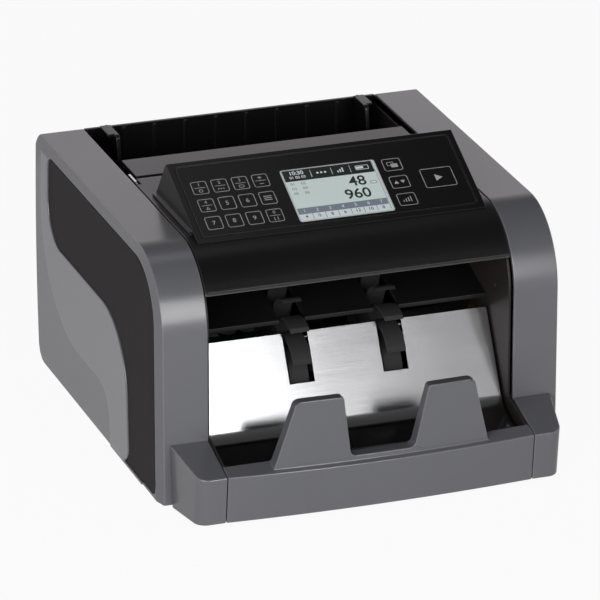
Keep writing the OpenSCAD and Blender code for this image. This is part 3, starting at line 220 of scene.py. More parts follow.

# %% [markdown]
# ## Finishes that several materials share
# Moulded plastic is never one flat colour. A mould is spark eroded, which leaves a fine even grain, the tone
# drifts a little over a large wall, and handling polishes the edges. One node group holds all of that, and
# each plastic sets its own colour, grain and gloss on it. Edges are known by the attribute "rub", which is
# painted when they are rounded further down. The group gives them a lower roughness for the polish, and a
# paler colour as a painted highlight for the line of light that a rounded edge catches. The raised band on the
# side panels is known by "sweep", and it is made paler as well: a painted highlight, as if the band tilted up
# toward the light.

# %% Helpers for node groups


def new_group(name, inputs, outputs):
    """An empty shader node group with named sockets, and its two end nodes."""
    group = bpy.data.node_groups.new(name, "ShaderNodeTree")
    for label, kind, value in inputs:
        socket = group.interface.new_socket(label, in_out="INPUT", socket_type=kind)
        socket.default_value = value
    for label, kind in outputs:
        group.interface.new_socket(label, in_out="OUTPUT", socket_type=kind)
    return group, group.nodes.new("NodeGroupInput"), group.nodes.new("NodeGroupOutput")


def math_node(tree, operation, a, b):
    """A math node on two values, each a socket or a number."""
    node = tree.nodes.new("ShaderNodeMath")
    node.operation = operation
    for socket, value in zip(node.inputs, (a, b)):
        if isinstance(value, (int, float)):
            socket.default_value = value
        else:
            tree.links.new(value, socket)
    return node.outputs[0]


def blend_node(tree, kind, share, a, b):
    """A colour mix of two colours, each a socket or a colour."""
    node = tree.nodes.new("ShaderNodeMix")
    node.data_type = "RGBA"
    node.blend_type = kind
    for socket, value in ((node.inputs[0], share), (node.inputs[6], a), (node.inputs[7], b)):
        if isinstance(value, bpy.types.NodeSocket):
            tree.links.new(value, socket)
        else:
            socket.default_value = value
    return node.outputs[2]


def noise_node(tree, scale, detail, stretch=(1, 1, 1)):
    """Noise on the piece's own coordinates, stretched if asked."""
    place = tree.nodes.new("ShaderNodeTexCoord")
    mapping = tree.nodes.new("ShaderNodeMapping")
    mapping.inputs["Scale"].default_value = stretch
    noise = tree.nodes.new("ShaderNodeTexNoise")
    noise.inputs["Detail"].default_value = detail
    tree.links.new(place.outputs["Object"], mapping.inputs["Vector"])
    tree.links.new(mapping.outputs[0], noise.inputs["Vector"])
    if isinstance(scale, (int, float)):
        noise.inputs["Scale"].default_value = scale
    else:
        tree.links.new(scale, noise.inputs["Scale"])
    return noise.outputs[0]


print("node helpers ready")

# %% Node group for moulded plastic
NOISE_MIDDLE = 0.5
MOTTLE_DETAIL = 3.0
GRAIN_DETAIL = 2.0
MOTTLE_SCALE = 14.0
MOTTLE_GAIN = 2.0
# added to the colour of the rounded edges: a painted highlight
RUB_PAINTED_HIGHLIGHT = (0.06, 0.06, 0.063, 1)
RUB_POLISH = 0.15


def build_moulded_group():
    group, start, end = new_group(
        "Moulded plastic",
        [("Colour", "NodeSocketColor", (0.1, 0.1, 0.1, 1)), ("Drift", "NodeSocketFloat", 0.06),
         ("Grain", "NodeSocketFloat", 2200.0), ("Roughness", "NodeSocketFloat", 0.4),
         ("Unevenness", "NodeSocketFloat", 0.08), ("Rub and highlight", "NodeSocketFloat", 0.3),
         ("Sweep", "NodeSocketFloat", 0.0)],
        [("Colour", "NodeSocketColor"), ("Roughness", "NodeSocketFloat"), ("Height", "NodeSocketFloat")])
    links = group.links
    mottle = noise_node(group, MOTTLE_SCALE, MOTTLE_DETAIL)
    centred = math_node(group, "SUBTRACT", mottle, NOISE_MIDDLE)
    drift = math_node(group, "MULTIPLY", centred, start.outputs["Drift"])
    # the raised band is made paler by the share below: a painted highlight, as if it tilted toward the light
    band = group.nodes.new("ShaderNodeAttribute")
    band.attribute_name = "sweep"
    lift = math_node(group, "MULTIPLY", band.outputs["Fac"], start.outputs["Sweep"])
    cloudy = math_node(group, "MULTIPLY", drift, MOTTLE_GAIN)
    tone = math_node(group, "ADD", cloudy, math_node(group, "ADD", lift, 1.0))
    shade = blend_node(group, "MULTIPLY", 1.0, start.outputs["Colour"], tone)
    # rounded edges: a lower roughness for wear, and a paler colour that is a painted highlight
    wear_and_highlight = group.nodes.new("ShaderNodeAttribute")
    wear_and_highlight.attribute_name = "rub"
    share = math_node(group, "MULTIPLY", wear_and_highlight.outputs["Fac"], start.outputs["Rub and highlight"])
    edge_painted_highlight = blend_node(group, "ADD", 1.0, shade, RUB_PAINTED_HIGHLIGHT)
    links.new(blend_node(group, "MIX", share, shade, edge_painted_highlight), end.inputs["Colour"])
    grain = noise_node(group, start.outputs["Grain"], GRAIN_DETAIL)
    links.new(grain, end.inputs["Height"])
    uneven = math_node(group, "MULTIPLY", centred, start.outputs["Unevenness"])
    rough = math_node(group, "ADD", start.outputs["Roughness"], uneven)
    polish = math_node(group, "MULTIPLY", share, RUB_POLISH)
    links.new(math_node(group, "SUBTRACT", rough, polish), end.inputs["Roughness"])
    return group


moulded_group = build_moulded_group()
print("group", moulded_group.name)

# %% [markdown]
# ## Metal and rubber
# Sheet steel shows fine lines along the rolling direction, and drawn shafts show them along their length.
# Stretched noise gives the lines: it is long across the machine, as plate and shafts lie, and short the
# other ways. Rubber has a dull skin with a slight bloom. It needs no group of its own: it takes the one for
# plastic, with a coarser grain and more drift.

# %% Node group for brushed metal
LINE_STRETCH = (20, 1500, 1500)
LINE_TONE = 0.12
LINE_DETAIL = 2.0
CLOUD_SCALE = 30.0


def build_brushed_group():
    group, start, end = new_group(
        "Brushed metal",
        [("Colour", "NodeSocketColor", (0.7, 0.7, 0.7, 1)), ("Lines", "NodeSocketFloat", 1.0),
         ("Roughness", "NodeSocketFloat", 0.2), ("Unevenness", "NodeSocketFloat", 0.1)],
        [("Colour", "NodeSocketColor"), ("Roughness", "NodeSocketFloat"), ("Height", "NodeSocketFloat")])
    lines = noise_node(group, start.outputs["Lines"], LINE_DETAIL, LINE_STRETCH)
    cloud = noise_node(group, CLOUD_SCALE, LINE_DETAIL)
    centred = math_node(group, "SUBTRACT", lines, NOISE_MIDDLE)
    tone = math_node(group, "ADD", math_node(group, "MULTIPLY", centred, LINE_TONE), 1.0)
    group.links.new(blend_node(group, "MULTIPLY", 1.0, start.outputs["Colour"], tone), end.inputs["Colour"])
    both = math_node(group, "ADD", centred, math_node(group, "SUBTRACT", cloud, NOISE_MIDDLE))
    uneven = math_node(group, "MULTIPLY", both, start.outputs["Unevenness"])
    group.links.new(math_node(group, "ADD", start.outputs["Roughness"], uneven), end.inputs["Roughness"])
    group.links.new(lines, end.inputs["Height"])
    return group


brushed_group = build_brushed_group()
print("group", brushed_group.name)

# %% [markdown]
# ## One material for each slot
# Each material is a Principled shader that one of the two groups feeds. Values that don't change over the
# surface, such as the metal share or the strength of the highlight, stay on the shader itself. The gloss of
# the large plastics keeps clear of a roughness of 0.27: where the noise crossed that value, the renderer's
# noise filter drew faint contour lines. The display is lit from behind, so its finishes also glow a little.

# %% Helpers for materials
GRAIN_DEEP = 0.05
LINES_DEEP = 0.02
finishes = {}


def finish_from(group, slot, bump, bump_mm, settings, **plain):
    """A Principled material fed by a group. Plain values stay on the shader's own sockets."""
    material = bpy.data.materials.new(slot)
    material.use_nodes = True
    tree = material.node_tree
    shader = tree.nodes["Principled BSDF"]
    skin = tree.nodes.new("ShaderNodeGroup")
    skin.node_tree = group
    for label, value in settings.items():
        skin.inputs[label].default_value = value
    tree.links.new(skin.outputs["Colour"], shader.inputs["Base Color"])
    tree.links.new(skin.outputs["Roughness"], shader.inputs["Roughness"])
    relief = tree.nodes.new("ShaderNodeBump")
    relief.inputs["Strength"].default_value = bump
    relief.inputs["Distance"].default_value = bump_mm * MM
    tree.links.new(skin.outputs["Height"], relief.inputs["Height"])
    tree.links.new(relief.outputs["Normal"], shader.inputs["Normal"])
    for label, value in plain.items():
        shader.inputs[label.replace("_", " ")].default_value = value
    if plain.get("Emission_Strength"):
        tree.links.new(skin.outputs["Colour"], shader.inputs["Emission Color"])
    finishes[slot] = material
    return material


def moulded(slot, colour, roughness, grain=2200.0, bump=0.15, drift=0.06, rub=0.3, sweep=0.0, **plain):
    settings = {"Colour": (*colour, 1), "Roughness": roughness, "Grain": grain, "Drift": drift, "Rub and highlight": rub,
                "Sweep": sweep}
    return finish_from(moulded_group, slot, bump, GRAIN_DEEP, settings, **plain)


def brushed(slot, colour, roughness, uneven=0.1, bump=0.05, **plain):
    settings = {"Colour": (*colour, 1), "Roughness": roughness, "Unevenness": uneven}
    return finish_from(brushed_group, slot, bump, LINES_DEEP, settings, Metallic=1.0, **plain)


print("material helpers ready")

# %% Finishes of the record's slots
# the panels' raised band is made paler by sweep: a painted highlight
moulded("panel_grey", (0.124, 0.126, 0.140), 0.245, rub=0.5, sweep=0.65, Specular_IOR_Level=0.85)
moulded("inlay_dark", (0.017, 0.0145, 0.0155), 0.60, rub=0.2, Specular_IOR_Level=0.1)
moulded("cover_dark", (0.0060, 0.0055, 0.0053), 0.31, rub=0.25, Specular_IOR_Level=0.4)
moulded("pod_black", (0.0050, 0.0047, 0.0047), 0.245, bump=0.04, rub=0.25, Specular_IOR_Level=0.3)
FOIL = dict(grain=900.0, bump=0.03, rub=0.1, Specular_IOR_Level=0.3)
moulded("foil_black", (0.0045, 0.0044, 0.0045), 0.245, **FOIL)
moulded("key_black", (0.0048, 0.0047, 0.0048), 0.24, **FOIL)
moulded("frame_paint", (0.026, 0.022, 0.020), 0.45, grain=1400.0, bump=0.25, rub=0.2, Specular_IOR_Level=0.3)
moulded("pan_paint", (0.022, 0.022, 0.023), 0.50, grain=1400.0, bump=0.25, rub=0.2)
moulded("inner_black", (0.0075, 0.0073, 0.0073), 0.48, rub=0.2, Specular_IOR_Level=0.35)
moulded("roller_rubber", (0.020, 0.020, 0.021), 0.75, grain=1100.0, bump=0.3, drift=0.25, rub=0.1)
moulded("belt_rubber", (0.011, 0.011, 0.011), 0.70, grain=1600.0, bump=0.3, drift=0.2, rub=0.1)
moulded("foot_rubber", (0.012, 0.012, 0.012), 0.80, grain=1300.0, bump=0.3, drift=0.2, rub=0.1)
moulded("board_green", (0.012, 0.075, 0.036), 0.38, grain=260.0, bump=0.2, drift=0.5, rub=0.1)
brushed("polished_steel", (0.46, 0.465, 0.47), 0.17, uneven=0.05, bump=0.01)
brushed("zinc_steel", (0.66, 0.66, 0.63), 0.28)
brushed("shaft_steel", (0.62, 0.62, 0.64), 0.20)
brushed("bush_bronze", (0.50, 0.32, 0.14), 0.38)
brushed("motor_steel", (0.50, 0.51, 0.52), 0.32)
BACKLIT = dict(grain=400.0, bump=0.0, drift=0.06, rub=0.0, Emission_Strength=0.27)
moulded("display_glass", (0.56, 0.65, 0.63), 0.20, **BACKLIT)
for node, cad in nodes.items():
    cad.data.materials.clear()
    cad.data.materials.append(finishes[slot_of[node]])
print(len(finishes), "finishes on", len(nodes), "nodes")

# %% Finishes of the prints
moulded("print_white", (0.52, 0.52, 0.52), 0.55, grain=3000.0, bump=0.05, drift=0.10, rub=0.0)
moulded("foil_edge", (0.055, 0.054, 0.054), 0.30, grain=3000.0, bump=0.02, drift=0.10, rub=0.0)
LCD_COLOURS = {
    "lcd_header": (0.010, 0.012, 0.012), "lcd_band": (0.17, 0.205, 0.25), "lcd_ink": (0.020, 0.022, 0.024),
    "lcd_grey": (0.20, 0.23, 0.24), "lcd_pale": (0.60, 0.66, 0.68),
}
for layer, colour in LCD_COLOURS.items():
    moulded(layer, colour, 0.22, **BACKLIT)
print(len(finishes), "finishes in all")

# %% [markdown]
# ## Rounding the mouldings
# No real edge is sharp: plastic needs a radius to leave the mould, and sheet metal is deburred. A rounded
# edge catches a thin line of light, which the eye takes for quality. A CAD node whose edges show is copied:
# its loose triangles are merged into clean faces, its sharp edges are bevelled and the new faces are painted
# into the attribute "rub". Where a tight corner is made of very short edges, they are welded or left out,
# because a bevel wider than its edge shoots past the corner. A Bevel modifier would round the edges too, but
# it can't paint what it made.

# %% Clean copies and their bevels
CREASE = math.radians(30)
FLAT = math.radians(0.05)
SAME_POINT = 0.002
BEVEL_STEPS = 2


def merged_copy(node, weld=0.0):
    """The node's mesh as clean faces in a new bmesh. Corners nearer than the weld become one."""
    bm = bmesh.new()
    bm.from_mesh(nodes[node].data)
    bmesh.ops.remove_doubles(bm, verts=bm.verts, dist=SAME_POINT * MM)
    bmesh.ops.dissolve_limit(bm, angle_limit=FLAT, verts=bm.verts, edges=bm.edges)
    if weld:
        bmesh.ops.remove_doubles(bm, verts=bm.verts, dist=weld * MM)
    return bm


def round_edges(bm, width, shortest):
    """Bevels every edge sharper than the crease; marks the new faces for wear and a painted highlight."""
    sharp = [e for e in bm.edges if len(e.link_faces) == 2 and e.calc_face_angle(0) > CREASE
             and e.calc_length() > shortest * MM]
    made = bmesh.ops.bevel(bm, geom=sharp, offset=width * MM, offset_type="OFFSET", affect="EDGES",
                           segments=BEVEL_STEPS, profile=0.5, material=-1, clamp_overlap=False,
                           loop_slide=True)
    # the material makes these faces paler: a painted highlight on top of the wear
    rub = bm.loops.layers.float.new("rub")
    for face in made["faces"]:
        for corner in face.loops:
            corner[rub] = 1.0
    return len(sharp)


print("edges that turn more than", round(math.degrees(CREASE)), "degrees get rounded")

# %% From bmesh to piece
SMOOTH_BELOW = math.radians(40)


def add_piece(name, bm, body, slot):
    """Turns a bmesh into a piece at the origin that rides on a body."""
    mesh = bpy.data.meshes.new(name)
    bm.to_mesh(mesh)
    bm.free()
    mesh.shade_smooth()
    mesh.set_sharp_from_angle(angle=SMOOTH_BELOW)
    mesh.materials.append(finishes[slot])
    piece = bpy.data.objects.new(name, mesh)
    bpy.context.scene.collection.objects.link(piece)
    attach(piece, body)
    return piece


print("pieces are smooth where they turn less than", round(math.degrees(SMOOTH_BELOW)), "degrees")

# %% [markdown]
# ## The raised sweep
# A raised band runs over the outer wall of each side panel. It is moulded in one with the panel, so it needs
# no piece of its own, only a mark that the material reads and paints paler, a painted highlight. Its faces
# could be picked by hand in the editor.
# Here the mark starts from one face on the band and spreads until an edge turns, so it finds its own border.

# %% Mark for the raised sweep
SWEEP_SEED = Vector((0.0, 47.6 * MM, 64.0 * MM))
SWEEP_EDGE = math.radians(12)
FACES_OUT = 0.9


def mark_sweep(bm, node):
    """Paints the raised band: starts from one face on it and spreads until an edge turns."""
    low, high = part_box(node)
    outside = low[0] if abs(low[0]) > abs(high[0]) else high[0]
    seed = SWEEP_SEED + Vector((outside, 0, 0))
    outer = [f for f in bm.faces if f.normal.x * outside > FACES_OUT * abs(outside)]
    first = min(outer, key=lambda f: (f.calc_center_median() - seed).length)
    found, edge_of_it = {first}, [first]
    while edge_of_it:
        face = edge_of_it.pop()
        for edge in face.edges:
            if len(edge.link_faces) != 2 or edge.calc_face_angle(0) > SWEEP_EDGE:
                continue
            for other in edge.link_faces:
                if other not in found:
                    found.add(other)
                    edge_of_it.append(other)
    # the material paints these faces paler: a painted highlight on the band
    sweep = bm.loops.layers.float.new("sweep")
    for face in found:
        for corner in face.loops:
            corner[sweep] = 1.0
    print(node, "sweep", len(found), "faces,", round(sum(f.calc_area() for f in found) / MM ** 2), "mm2")


print("the sweep starts at y", round(SWEEP_SEED.y / MM, 1), "and z", round(SWEEP_SEED.z / MM, 1), "mm")

# %% [markdown]
# ## Rounded copies in their place
# Thick mouldings get the largest radius, and the foil and the bent sheets the smallest. Each copy replaces
# its node and rides on the same body. A Weighted Normal modifier keeps its large faces flat. How far a copy
# leaves its node's box is measured, because a bevel that goes wrong shows as a spike.

# %% Rounded copies of the CAD nodes
# radius of each node's edges, in mm
EDGE_ROUND = {
    "left_side_panel": 0.6, "right_side_panel": 0.6, "left_inlay": 0.45, "right_inlay": 0.45,
    "left_tray_end": 0.8, "right_tray_end": 0.8, "front_stop": 0.6, "stacker_plate": 0.2,
    "left_frame": 0.25, "right_frame": 0.25, "hinge_brackets": 0.2, "hopper_lip": 0.45,
    "hopper_floor": 0.3, "backrest": 0.3, "left_note_guide": 0.4, "right_note_guide": 0.4,
    "rear_cover": 0.3, "power_inlet": 0.3, "power_switch": 0.4, "upper_cover": 0.5,
    "control_pod": 0.4, "keypad_foil": 0.1, "base_pan": 0.4, "feet": 0.6, "lower_guide": 0.3,
    "upper_guide": 0.3, "stacker_wheels": 0.25,
}
# weld distance and shortest edge to bevel, in mm
FINE_CORNERS = {
    "front_stop": (0.22, 0.0), "hopper_lip": (0.4, 0.0), "hinge_brackets": (0.0, 0.3),
    "left_note_guide": (0.0, 0.3), "right_note_guide": (0.0, 0.3),
}


def overshoot(bm, node):
    """How far in mm the rounded copy leaves the node's box: a spike of the bevel would show here."""
    low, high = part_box(node)
    return max(max(low[i] - v.co[i], v.co[i] - high[i]) for v in bm.verts for i in range(3)) / MM


def dress(node, width):
    """Puts a rounded copy in a node's place, with even normals."""
    weld, shortest = FINE_CORNERS.get(node, (0.0, 0.0))
    bm = merged_copy(node, weld)
    count = round_edges(bm, width, shortest)
    spike = overshoot(bm, node)
    if node.endswith("side_panel"):
        mark_sweep(bm, node)
    piece = add_piece(node + "_dressed", bm, body_of[node], slot_of[node])
    even = piece.modifiers.new("even normals", "WEIGHTED_NORMAL")
    even.keep_sharp = True
    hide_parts(node)
    print(node, count, "edges,", len(piece.data.polygons), "faces, leaves its box by", round(spike, 3), "mm")
    return piece


dressed = {node: dress(node, width) for node, width in EDGE_ROUND.items()}
print(len(dressed), "nodes dressed")

# %% [markdown]
# ## Prints on the keys
# The keypad is a printed foil: each key shows a thin rounded frame and its sign. Screen ink is only a few
# hundredths of a millimetre thick, so every print is a flat mesh that floats just above its key and rides on
# it. Frames come from a grid whose corners are bevelled and whose middle is inset away, digits from a text
# curve, and the signs from circles and bars.

# %% Flat shapes for prints
CORNER_STEPS = 6


def flat_bar(width, height):
    bm = bmesh.new()
    bmesh.ops.create_grid(bm, x_segments=1, y_segments=1, size=0.5)
    bmesh.ops.scale(bm, vec=(width, height, 1), verts=bm.verts)
    return bm


def flat_plate(width, height, radius):
    bm = flat_bar(width, height)
    bmesh.ops.bevel(bm, geom=bm.verts[:], offset=radius, offset_type="OFFSET", affect="VERTICES",
                    segments=CORNER_STEPS, profile=0.5, material=-1)
    return bm


def only_rim(bm, line):
    """Keeps a line of that width along the shape's edge."""
    middle = bm.faces[:]
    bmesh.ops.inset_region(bm, faces=middle, thickness=line, use_boundary=True, use_even_offset=True)
    bmesh.ops.delete(bm, geom=middle, context="FACES")
    return bm


def flat_disc(radius, corners=32, turn=0.0):
    bm = bmesh.new()
    bmesh.ops.create_circle(bm, cap_ends=True, radius=radius, segments=corners)
    bmesh.ops.rotate(bm, cent=(0, 0, 0), matrix=Matrix.Rotation(math.radians(turn), 3, "Z"), verts=bm.verts)
    return bm


def flat_digits(text, size, bold=0.0, align="CENTER"):
    """Digits from a text curve, made a mesh before they get their place."""
    curve = bpy.data.curves.new("digits", "FONT")
    curve.body = text
    curve.size = size
    curve.offset = bold * size
    curve.align_x = align
    curve.align_y = "CENTER"
    holder = bpy.data.objects.new("digits", curve)
    mesh = bpy.data.meshes.new_from_object(holder)
    bm = bmesh.new()
    bm.from_mesh(mesh)
    bpy.data.objects.remove(holder)
    bpy.data.curves.remove(curve)
    bpy.data.meshes.remove(mesh)
    return bm


print("flat shapes ready")

# %% Laying a print on a face
INK_LIFT = 0.03


def gather(parts):
    """Joins (shape, x, y) parts into one flat bmesh, in mm."""
    whole = bmesh.new()
    for shape, x, y in parts:
        bmesh.ops.translate(shape, verts=shape.verts, vec=(x, y, 0))
        sheet = bpy.data.meshes.new("part")
        shape.to_mesh(sheet)
        shape.free()
        whole.from_mesh(sheet)
        bpy.data.meshes.remove(sheet)
    return whole


def face_frame(place, outward):
    """Matrix of a face whose right is the machine's x axis."""
    out = Vector(outward).normalized()
    right = Vector((1, 0, 0))
    up = out.cross(right)
    turn = Matrix((right, up, out)).transposed().to_4x4()
    return Matrix.Translation(place) @ turn


def lay_print(name, parts, face, body, finish, lift=INK_LIFT):
    bm = gather(parts)
    for f in bm.faces:
        if f.normal.z < 0:
            f.normal_flip()
    place = face @ Matrix.Translation((0, 0, lift * MM)) @ Matrix.Scale(MM, 4)
    bmesh.ops.transform(bm, matrix=place, verts=bm.verts)
    return add_piece(name, bm, body, finish)


print("print helpers ready")

# %% [markdown]
# ## Signs of the keys
# Number keys carry their digit, and the keys with a second function show a small sign under a line. The mode
# keys have plain signs of bars, plates and triangles. The press joint of each key gives the place and the
# tilt of its face, so a print needs no angle of its own.

# %% Sign shapes
FRAME_LINE = 0.36
THIN = 0.32
DIGIT = 4.6
SMALL_DIGIT = 3.4
DIGIT_Y = 2.55
HALF_LINE = 6.6
SIGN_Y = -2.6
PLUS = 2.6
PLUS_LINE = 0.42
PLUS_Y = 2.5


def cross_sign(size, line):
    return [(flat_bar(size, line), 0, 0), (flat_bar(line, size), 0, 0)]


def split_sign(digit, sign):
    """A digit above a line, and a sign under it."""
    return [(flat_digits(digit, SMALL_DIGIT), 0, DIGIT_Y), (flat_bar(HALF_LINE, THIN), 0, 0)] + \
        [(shape, x, SIGN_Y + y) for shape, x, y in sign]


KEY_SIGNS = {
    "key_1": split_sign("1", [(only_rim(flat_disc(1.25), THIN), 0, 0)]),
    "key_2": split_sign("2", [(flat_disc(0.42, 16), x, 0) for x in (-1.6, 0, 1.6)]),
    "key_3": split_sign("3", [(only_rim(flat_plate(3.2, 2.2, 0.4), THIN), 0, 0)]),
    "key_add": [(shape, x, PLUS_Y + y) for shape, x, y in cross_sign(PLUS, PLUS_LINE)] +
               [(flat_bar(HALF_LINE, THIN), 0, 0), (flat_bar(PLUS, PLUS_LINE), 0, SIGN_Y)],
    "key_4": split_sign("4", [(only_rim(flat_disc(1.5, 3), THIN), 0, -0.2)]),
    **{"key_" + digit: [(flat_digits(digit, DIGIT), 0, 0)] for digit in "56789"},
    "key_0": split_sign("0", [(flat_bar(0.4, 2.6), x, 0) for x in (-1.1, 1.1)]),
    "key_batch": [(flat_bar(5.0, 0.55), 0, y) for y in (-1.5, 0, 1.5)],
    "key_mix": [(only_rim(flat_plate(4.4, 3.0, 0.4), FRAME_LINE), -1.1, 0.8),
                (flat_plate(4.4, 3.0, 0.4), 1.1, -0.8)],
    "key_sort": [(flat_disc(1.7, 3, 0), -2.1, -0.4), (flat_disc(1.7, 3, 180), 2.1, 0.4)],
    "key_count": [(flat_bar(0.55, h), x, h / 2 - 2.0)
                  for x, h in ((-2.4, 1.6), (-0.8, 2.6), (0.8, 3.4), (2.4, 4.2))],
    "key_start": [(flat_disc(3.1, 3, -90), -0.4, 0)],
}
print(len(KEY_SIGNS), "signs")

# %% Key prints
FRAME_IN = 0.3
FRAME_RADIUS = 1.5


def key_face(key):
    """Frame of a key's face, from the joint that presses it."""
    joint = joints[key + "_press"]
    return face_frame(joint["pos_m"], -Vector(joint["axis"]))


def key_size(key, face):
    """Width and height of a key on its face, in mm."""
    spread = [face.inverted() @ v.co for v in nodes[key].data.vertices]
    return tuple((max(p[i] for p in spread) - min(p[i] for p in spread)) / MM for i in (0, 1))


for key, sign in KEY_SIGNS.items():
    face = key_face(key)
    width, height = key_size(key, face)
    frame_line = only_rim(flat_plate(width - FRAME_IN, height - FRAME_IN, FRAME_RADIUS), FRAME_LINE)
    lay_print(key + "_print", [(frame_line, 0, 0)] + sign, face, key + "_pad", "print_white")
print(len(KEY_SIGNS), "keys printed, the last", round(width, 1), "by", round(height, 1), "mm")

# %% [markdown]
# ## The display
# On the real machine a liquid crystal panel with a weak light sits behind a clear window. Here the window
# itself is the pale field, and the picture is layered on it from flat shapes: the dark header, two rows of
# large digits, and a table of small ones at the bottom. A picture file could do it too, but shapes stay sharp
# from near. The numbers are made up. Layers lie a few hundredths of a millimetre apart.

# %% Face and columns of the display
WINDOW_THICK = 1.5
PICTURE_W = 57.0
PICTURE_X = -0.6
CELLS = 7
window_low, window_high = (Vector(c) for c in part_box("display_window"))
face_out = -Vector(joints["key_5_press"]["axis"])
window_face = face_frame((window_low + window_high) / 2 + face_out * WINDOW_THICK / 2 * MM, face_out)
cell_w = PICTURE_W / CELLS
cell_x = [PICTURE_X + (i - (CELLS - 1) / 2) * cell_w for i in range(CELLS)]
between = [x + cell_w / 2 for x in cell_x[:-1]]
print(CELLS, "columns of", round(cell_w, 2), "mm")

# %% Display picture
# places and sizes are in mm, from the middle of the window
LAYER = 0.03
header_marks = [(flat_digits("10:30", 4.2, 0.02), -20.6, 18.2),
                (flat_digits("01 02 03", 2.9, 0.015), -20.6, 14.6)] + \
    [(flat_bar(0.3, 5.6), x, 16.4) for x in (-11.6, 1.6, 13.4)] + \
    [(flat_disc(0.75, 20), x, 16.4) for x in (-7.4, -5.0, -2.6)] + \
    [(flat_bar(0.8, h), x, 14.6 + h / 2) for x, h in ((5.4, 1.6), (7.0, 2.6), (8.6, 3.6))] + \
    [(only_rim(flat_plate(8.4, 3.6, 0.6), 0.4), 21.0, 16.4), (flat_bar(4.6, 1.8), 19.6, 16.4)]
DISPLAY_LAYERS = (
    ("display_frame", "print_white", 1, [(only_rim(flat_plate(60.0, 43.0, 1.5), 0.5), 0, 0)]),
    ("display_edge", "lcd_grey", 1, [(flat_bar(0.3, 40.6), 28.3, 0)]),
    ("display_header", "lcd_header", 1, [(flat_bar(PICTURE_W, 9.2), PICTURE_X, 16.3)]),
    ("display_header_marks", "lcd_pale", 2, header_marks),
    ("display_flags", "lcd_grey", 1,
     [(flat_digits(text, 3.0, 0.01), x, y) for text, x, y in
      (("01", -25.4, 9.3), ("02", -18.6, 9.3), ("03", -25.4, 5.4), ("04", -18.6, 5.4), ("05", -25.4, 1.5),
       ("06", -18.6, 1.5))]),
    ("display_count", "lcd_ink", 1,
     [(flat_digits(text, 11.0, 0.014, "RIGHT"), 20.2, y) for text, y in (("48", 5.6), ("960", -4.6))]),
    ("display_unit", "lcd_grey", 1, [(only_rim(flat_plate(4.2, 2.4, 0.4), 0.4), 24.4, 3.4)]),
    ("display_band", "lcd_band", 1, [(flat_bar(PICTURE_W, 5.0), PICTURE_X, -13.2)]),
    ("display_band_marks", "lcd_pale", 2,
     [(flat_digits(str(i + 1), 3.4, 0.01), x, -13.2) for i, x in enumerate(cell_x)]),
    ("display_cells", "lcd_pale", 1, [(flat_bar(PICTURE_W, 4.6), PICTURE_X, -18.0)]),
    ("display_cell_marks", "lcd_ink", 2,
     [(flat_digits(text, 3.4, 0.01), x, -18.0)
      for text, x in zip(("4", "0", "8", "6", "12", "10", "8"), cell_x)] +
     [(flat_bar(0.25, 4.6), x, -18.0) for x in between]),
)
for name, finish, level, parts in DISPLAY_LAYERS:
    lay_print(name, parts, window_face, "cover", finish, level * LAYER)
print(len(DISPLAY_LAYERS), "display layers")

# %% [markdown]
# ## The foil's edge
# The foil's cut edge catches the light as one thin line. Its radius of a tenth of a millimetre is too small
# to do that in a picture of the whole machine, so the line is drawn as a thin rim just inside the edge.

# %% Foil edge line
EDGE_IN = 1.0
EDGE_RADIUS = 2.4
EDGE_LINE = 0.22
foil_low, foil_high = (Vector(c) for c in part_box("keypad_foil"))
foil_face = face_frame((foil_low + foil_high) / 2, face_out)
spread = [foil_face.inverted() @ v.co for v in nodes["keypad_foil"].data.vertices]
foil_w, foil_h, foil_top = ((max(p[i] for p in spread) - min(p[i] for p in spread)) / MM for i in range(3))
edge_line = only_rim(flat_plate(foil_w - EDGE_IN, foil_h - EDGE_IN, EDGE_RADIUS), EDGE_LINE)
lay_print("foil_edge_line", [(edge_line, 0, 0)], foil_face, "cover", "foil_edge", foil_top / 2 + INK_LIFT)
print("foil", round(foil_w, 1), "by", round(foil_h, 1), "by", round(foil_top, 2), "mm")

# %% [markdown]
# ## Marks on the mains switch
# Rockers carry a bar for on and a ring for off, moulded or printed into the two halves. The two largest
# faces that look back are found on the node itself, so the marks tilt with the rocker.

# %% Switch marks
ON_BAR = (0.8, 4.2)
OFF_RADIUS = 1.9
OFF_LINE = 0.6
rocker = merged_copy("power_switch")
halves = sorted((f for f in rocker.faces if f.normal.y > FACES_OUT), key=lambda f: -f.calc_area())[:2]
upper, lower = sorted(halves, key=lambda f: -f.calc_center_median().z)
for name, half, mark in (("switch_on_mark", upper, flat_bar(*ON_BAR)),
                         ("switch_off_mark", lower, only_rim(flat_disc(OFF_RADIUS), OFF_LINE))):
    half_face = face_frame(half.calc_center_median(), half.normal)
    lay_print(name, [(mark, 0, 0)], half_face, body_of["power_switch"], "print_white")
    print(name, "on a half of", round(half.calc_area() / MM ** 2), "mm2")
rocker.free()

# %% [markdown]
# ## Screws
# Pan head screws with a cross recess hold the rear cover and, from below, the base pan. A square grid makes
# the recess: the faces of its cross are pushed in. Its rim is bridged to a round loop, and that loop is
# extruded in three steps, out over the shoulder and down to the seat.

# %% Screw head
HEAD_RADIUS = 2.7
CROWN_SHARE = 0.72
HEAD_STEPS = ((0.90, 1.15), (1.0, 0.75), (1.0, 0.0))
HEAD_HIGH = 1.3
RECESS_HALF = 1.5
RECESS_CELLS = 8
RECESS_DEEP = 0.8


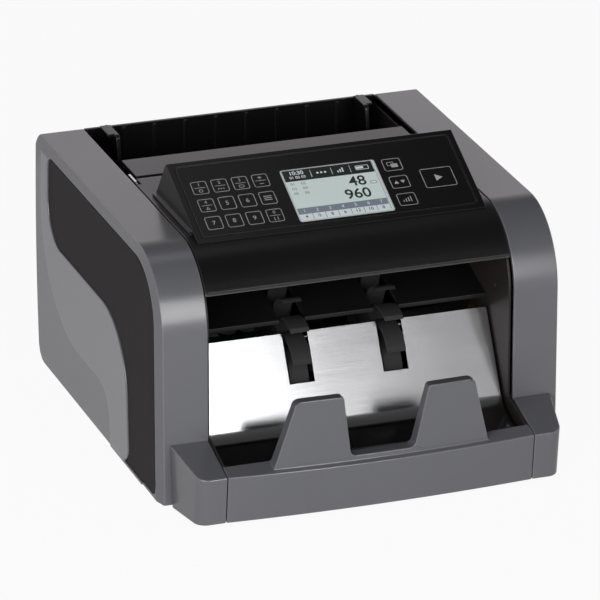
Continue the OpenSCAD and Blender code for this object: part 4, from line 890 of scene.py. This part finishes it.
def screw_head():
    """A pan head that stands on z = 0, in mm."""
    bm = bmesh.new()
    bmesh.ops.create_grid(bm, x_segments=RECESS_CELLS, y_segments=RECESS_CELLS, size=RECESS_HALF)
    cell = 2 * RECESS_HALF / RECESS_CELLS
    rim = [e for e in bm.edges if e.is_boundary]
    spots = [(f, *(abs(c) for c in f.calc_center_median().xy)) for f in bm.faces]
    cross = [f for f, x, y in spots if min(x, y) < cell and max(x, y) < 3 * cell]
    pushed = bmesh.ops.extrude_face_region(bm, geom=cross)["geom"]
    floor_of_it = [g for g in pushed if isinstance(g, bmesh.types.BMVert)]
    bmesh.ops.translate(bm, verts=floor_of_it, vec=(0, 0, -RECESS_DEEP))
    ring = bmesh.ops.create_circle(bm, segments=len(rim), radius=CROWN_SHARE * HEAD_RADIUS)["verts"]
    loop = list({e for v in ring for e in v.link_edges})
    bmesh.ops.bridge_loops(bm, edges=rim + loop)
    bmesh.ops.translate(bm, verts=bm.verts, vec=(0, 0, HEAD_HIGH))
    radius = CROWN_SHARE
    for share, height in HEAD_STEPS:
        made = bmesh.ops.extrude_edge_only(bm, edges=loop)["geom"]
        loop = [g for g in made if isinstance(g, bmesh.types.BMEdge)]
        corners = [g for g in made if isinstance(g, bmesh.types.BMVert)]
        bmesh.ops.scale(bm, vec=(share / radius, share / radius, 1), verts=corners)
        bmesh.ops.translate(bm, verts=corners, vec=(0, 0, height - corners[0].co.z))
        radius = share
    bmesh.ops.recalc_face_normals(bm, faces=bm.faces)
    return bm


print("screw heads are", 2 * HEAD_RADIUS, "mm wide")

# %% Screws in place


def drive_screw(name, place, outward, turn):
    bm = screw_head()
    spin = Matrix.Rotation(math.radians(turn), 4, "Z")
    seat = face_frame(Vector(place) * MM, outward) @ Matrix.Scale(MM, 4) @ spin
    bmesh.ops.transform(bm, matrix=seat, verts=bm.verts)
    return add_piece(name, bm, "chassis", "zinc_steel")


# the rear cover has raised parts, but its flat face lies level with the backrest's
rear_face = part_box("backrest")[1][1] / MM
pan_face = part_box("base_pan")[0][2] / MM
REAR_TURN, REAR_STEP = 17, 31
PAN_TURN, PAN_STEP = 9, 23
REAR_SCREWS = [(x, rear_face, z) for x in (-89, 89) for z in (15, 109)]
PAN_SCREWS = [(x, y, pan_face) for x in (-116, 116) for y in (-70, 20, 110)]
for i, place in enumerate(REAR_SCREWS):
    drive_screw(f"rear_screw_{i + 1}", place, (0, 1, 0), REAR_TURN + REAR_STEP * i)
for i, place in enumerate(PAN_SCREWS):
    drive_screw(f"pan_screw_{i + 1}", place, (0, 0, -1), PAN_TURN + PAN_STEP * i)
print(len(REAR_SCREWS), "rear screws,", len(PAN_SCREWS), "pan screws")
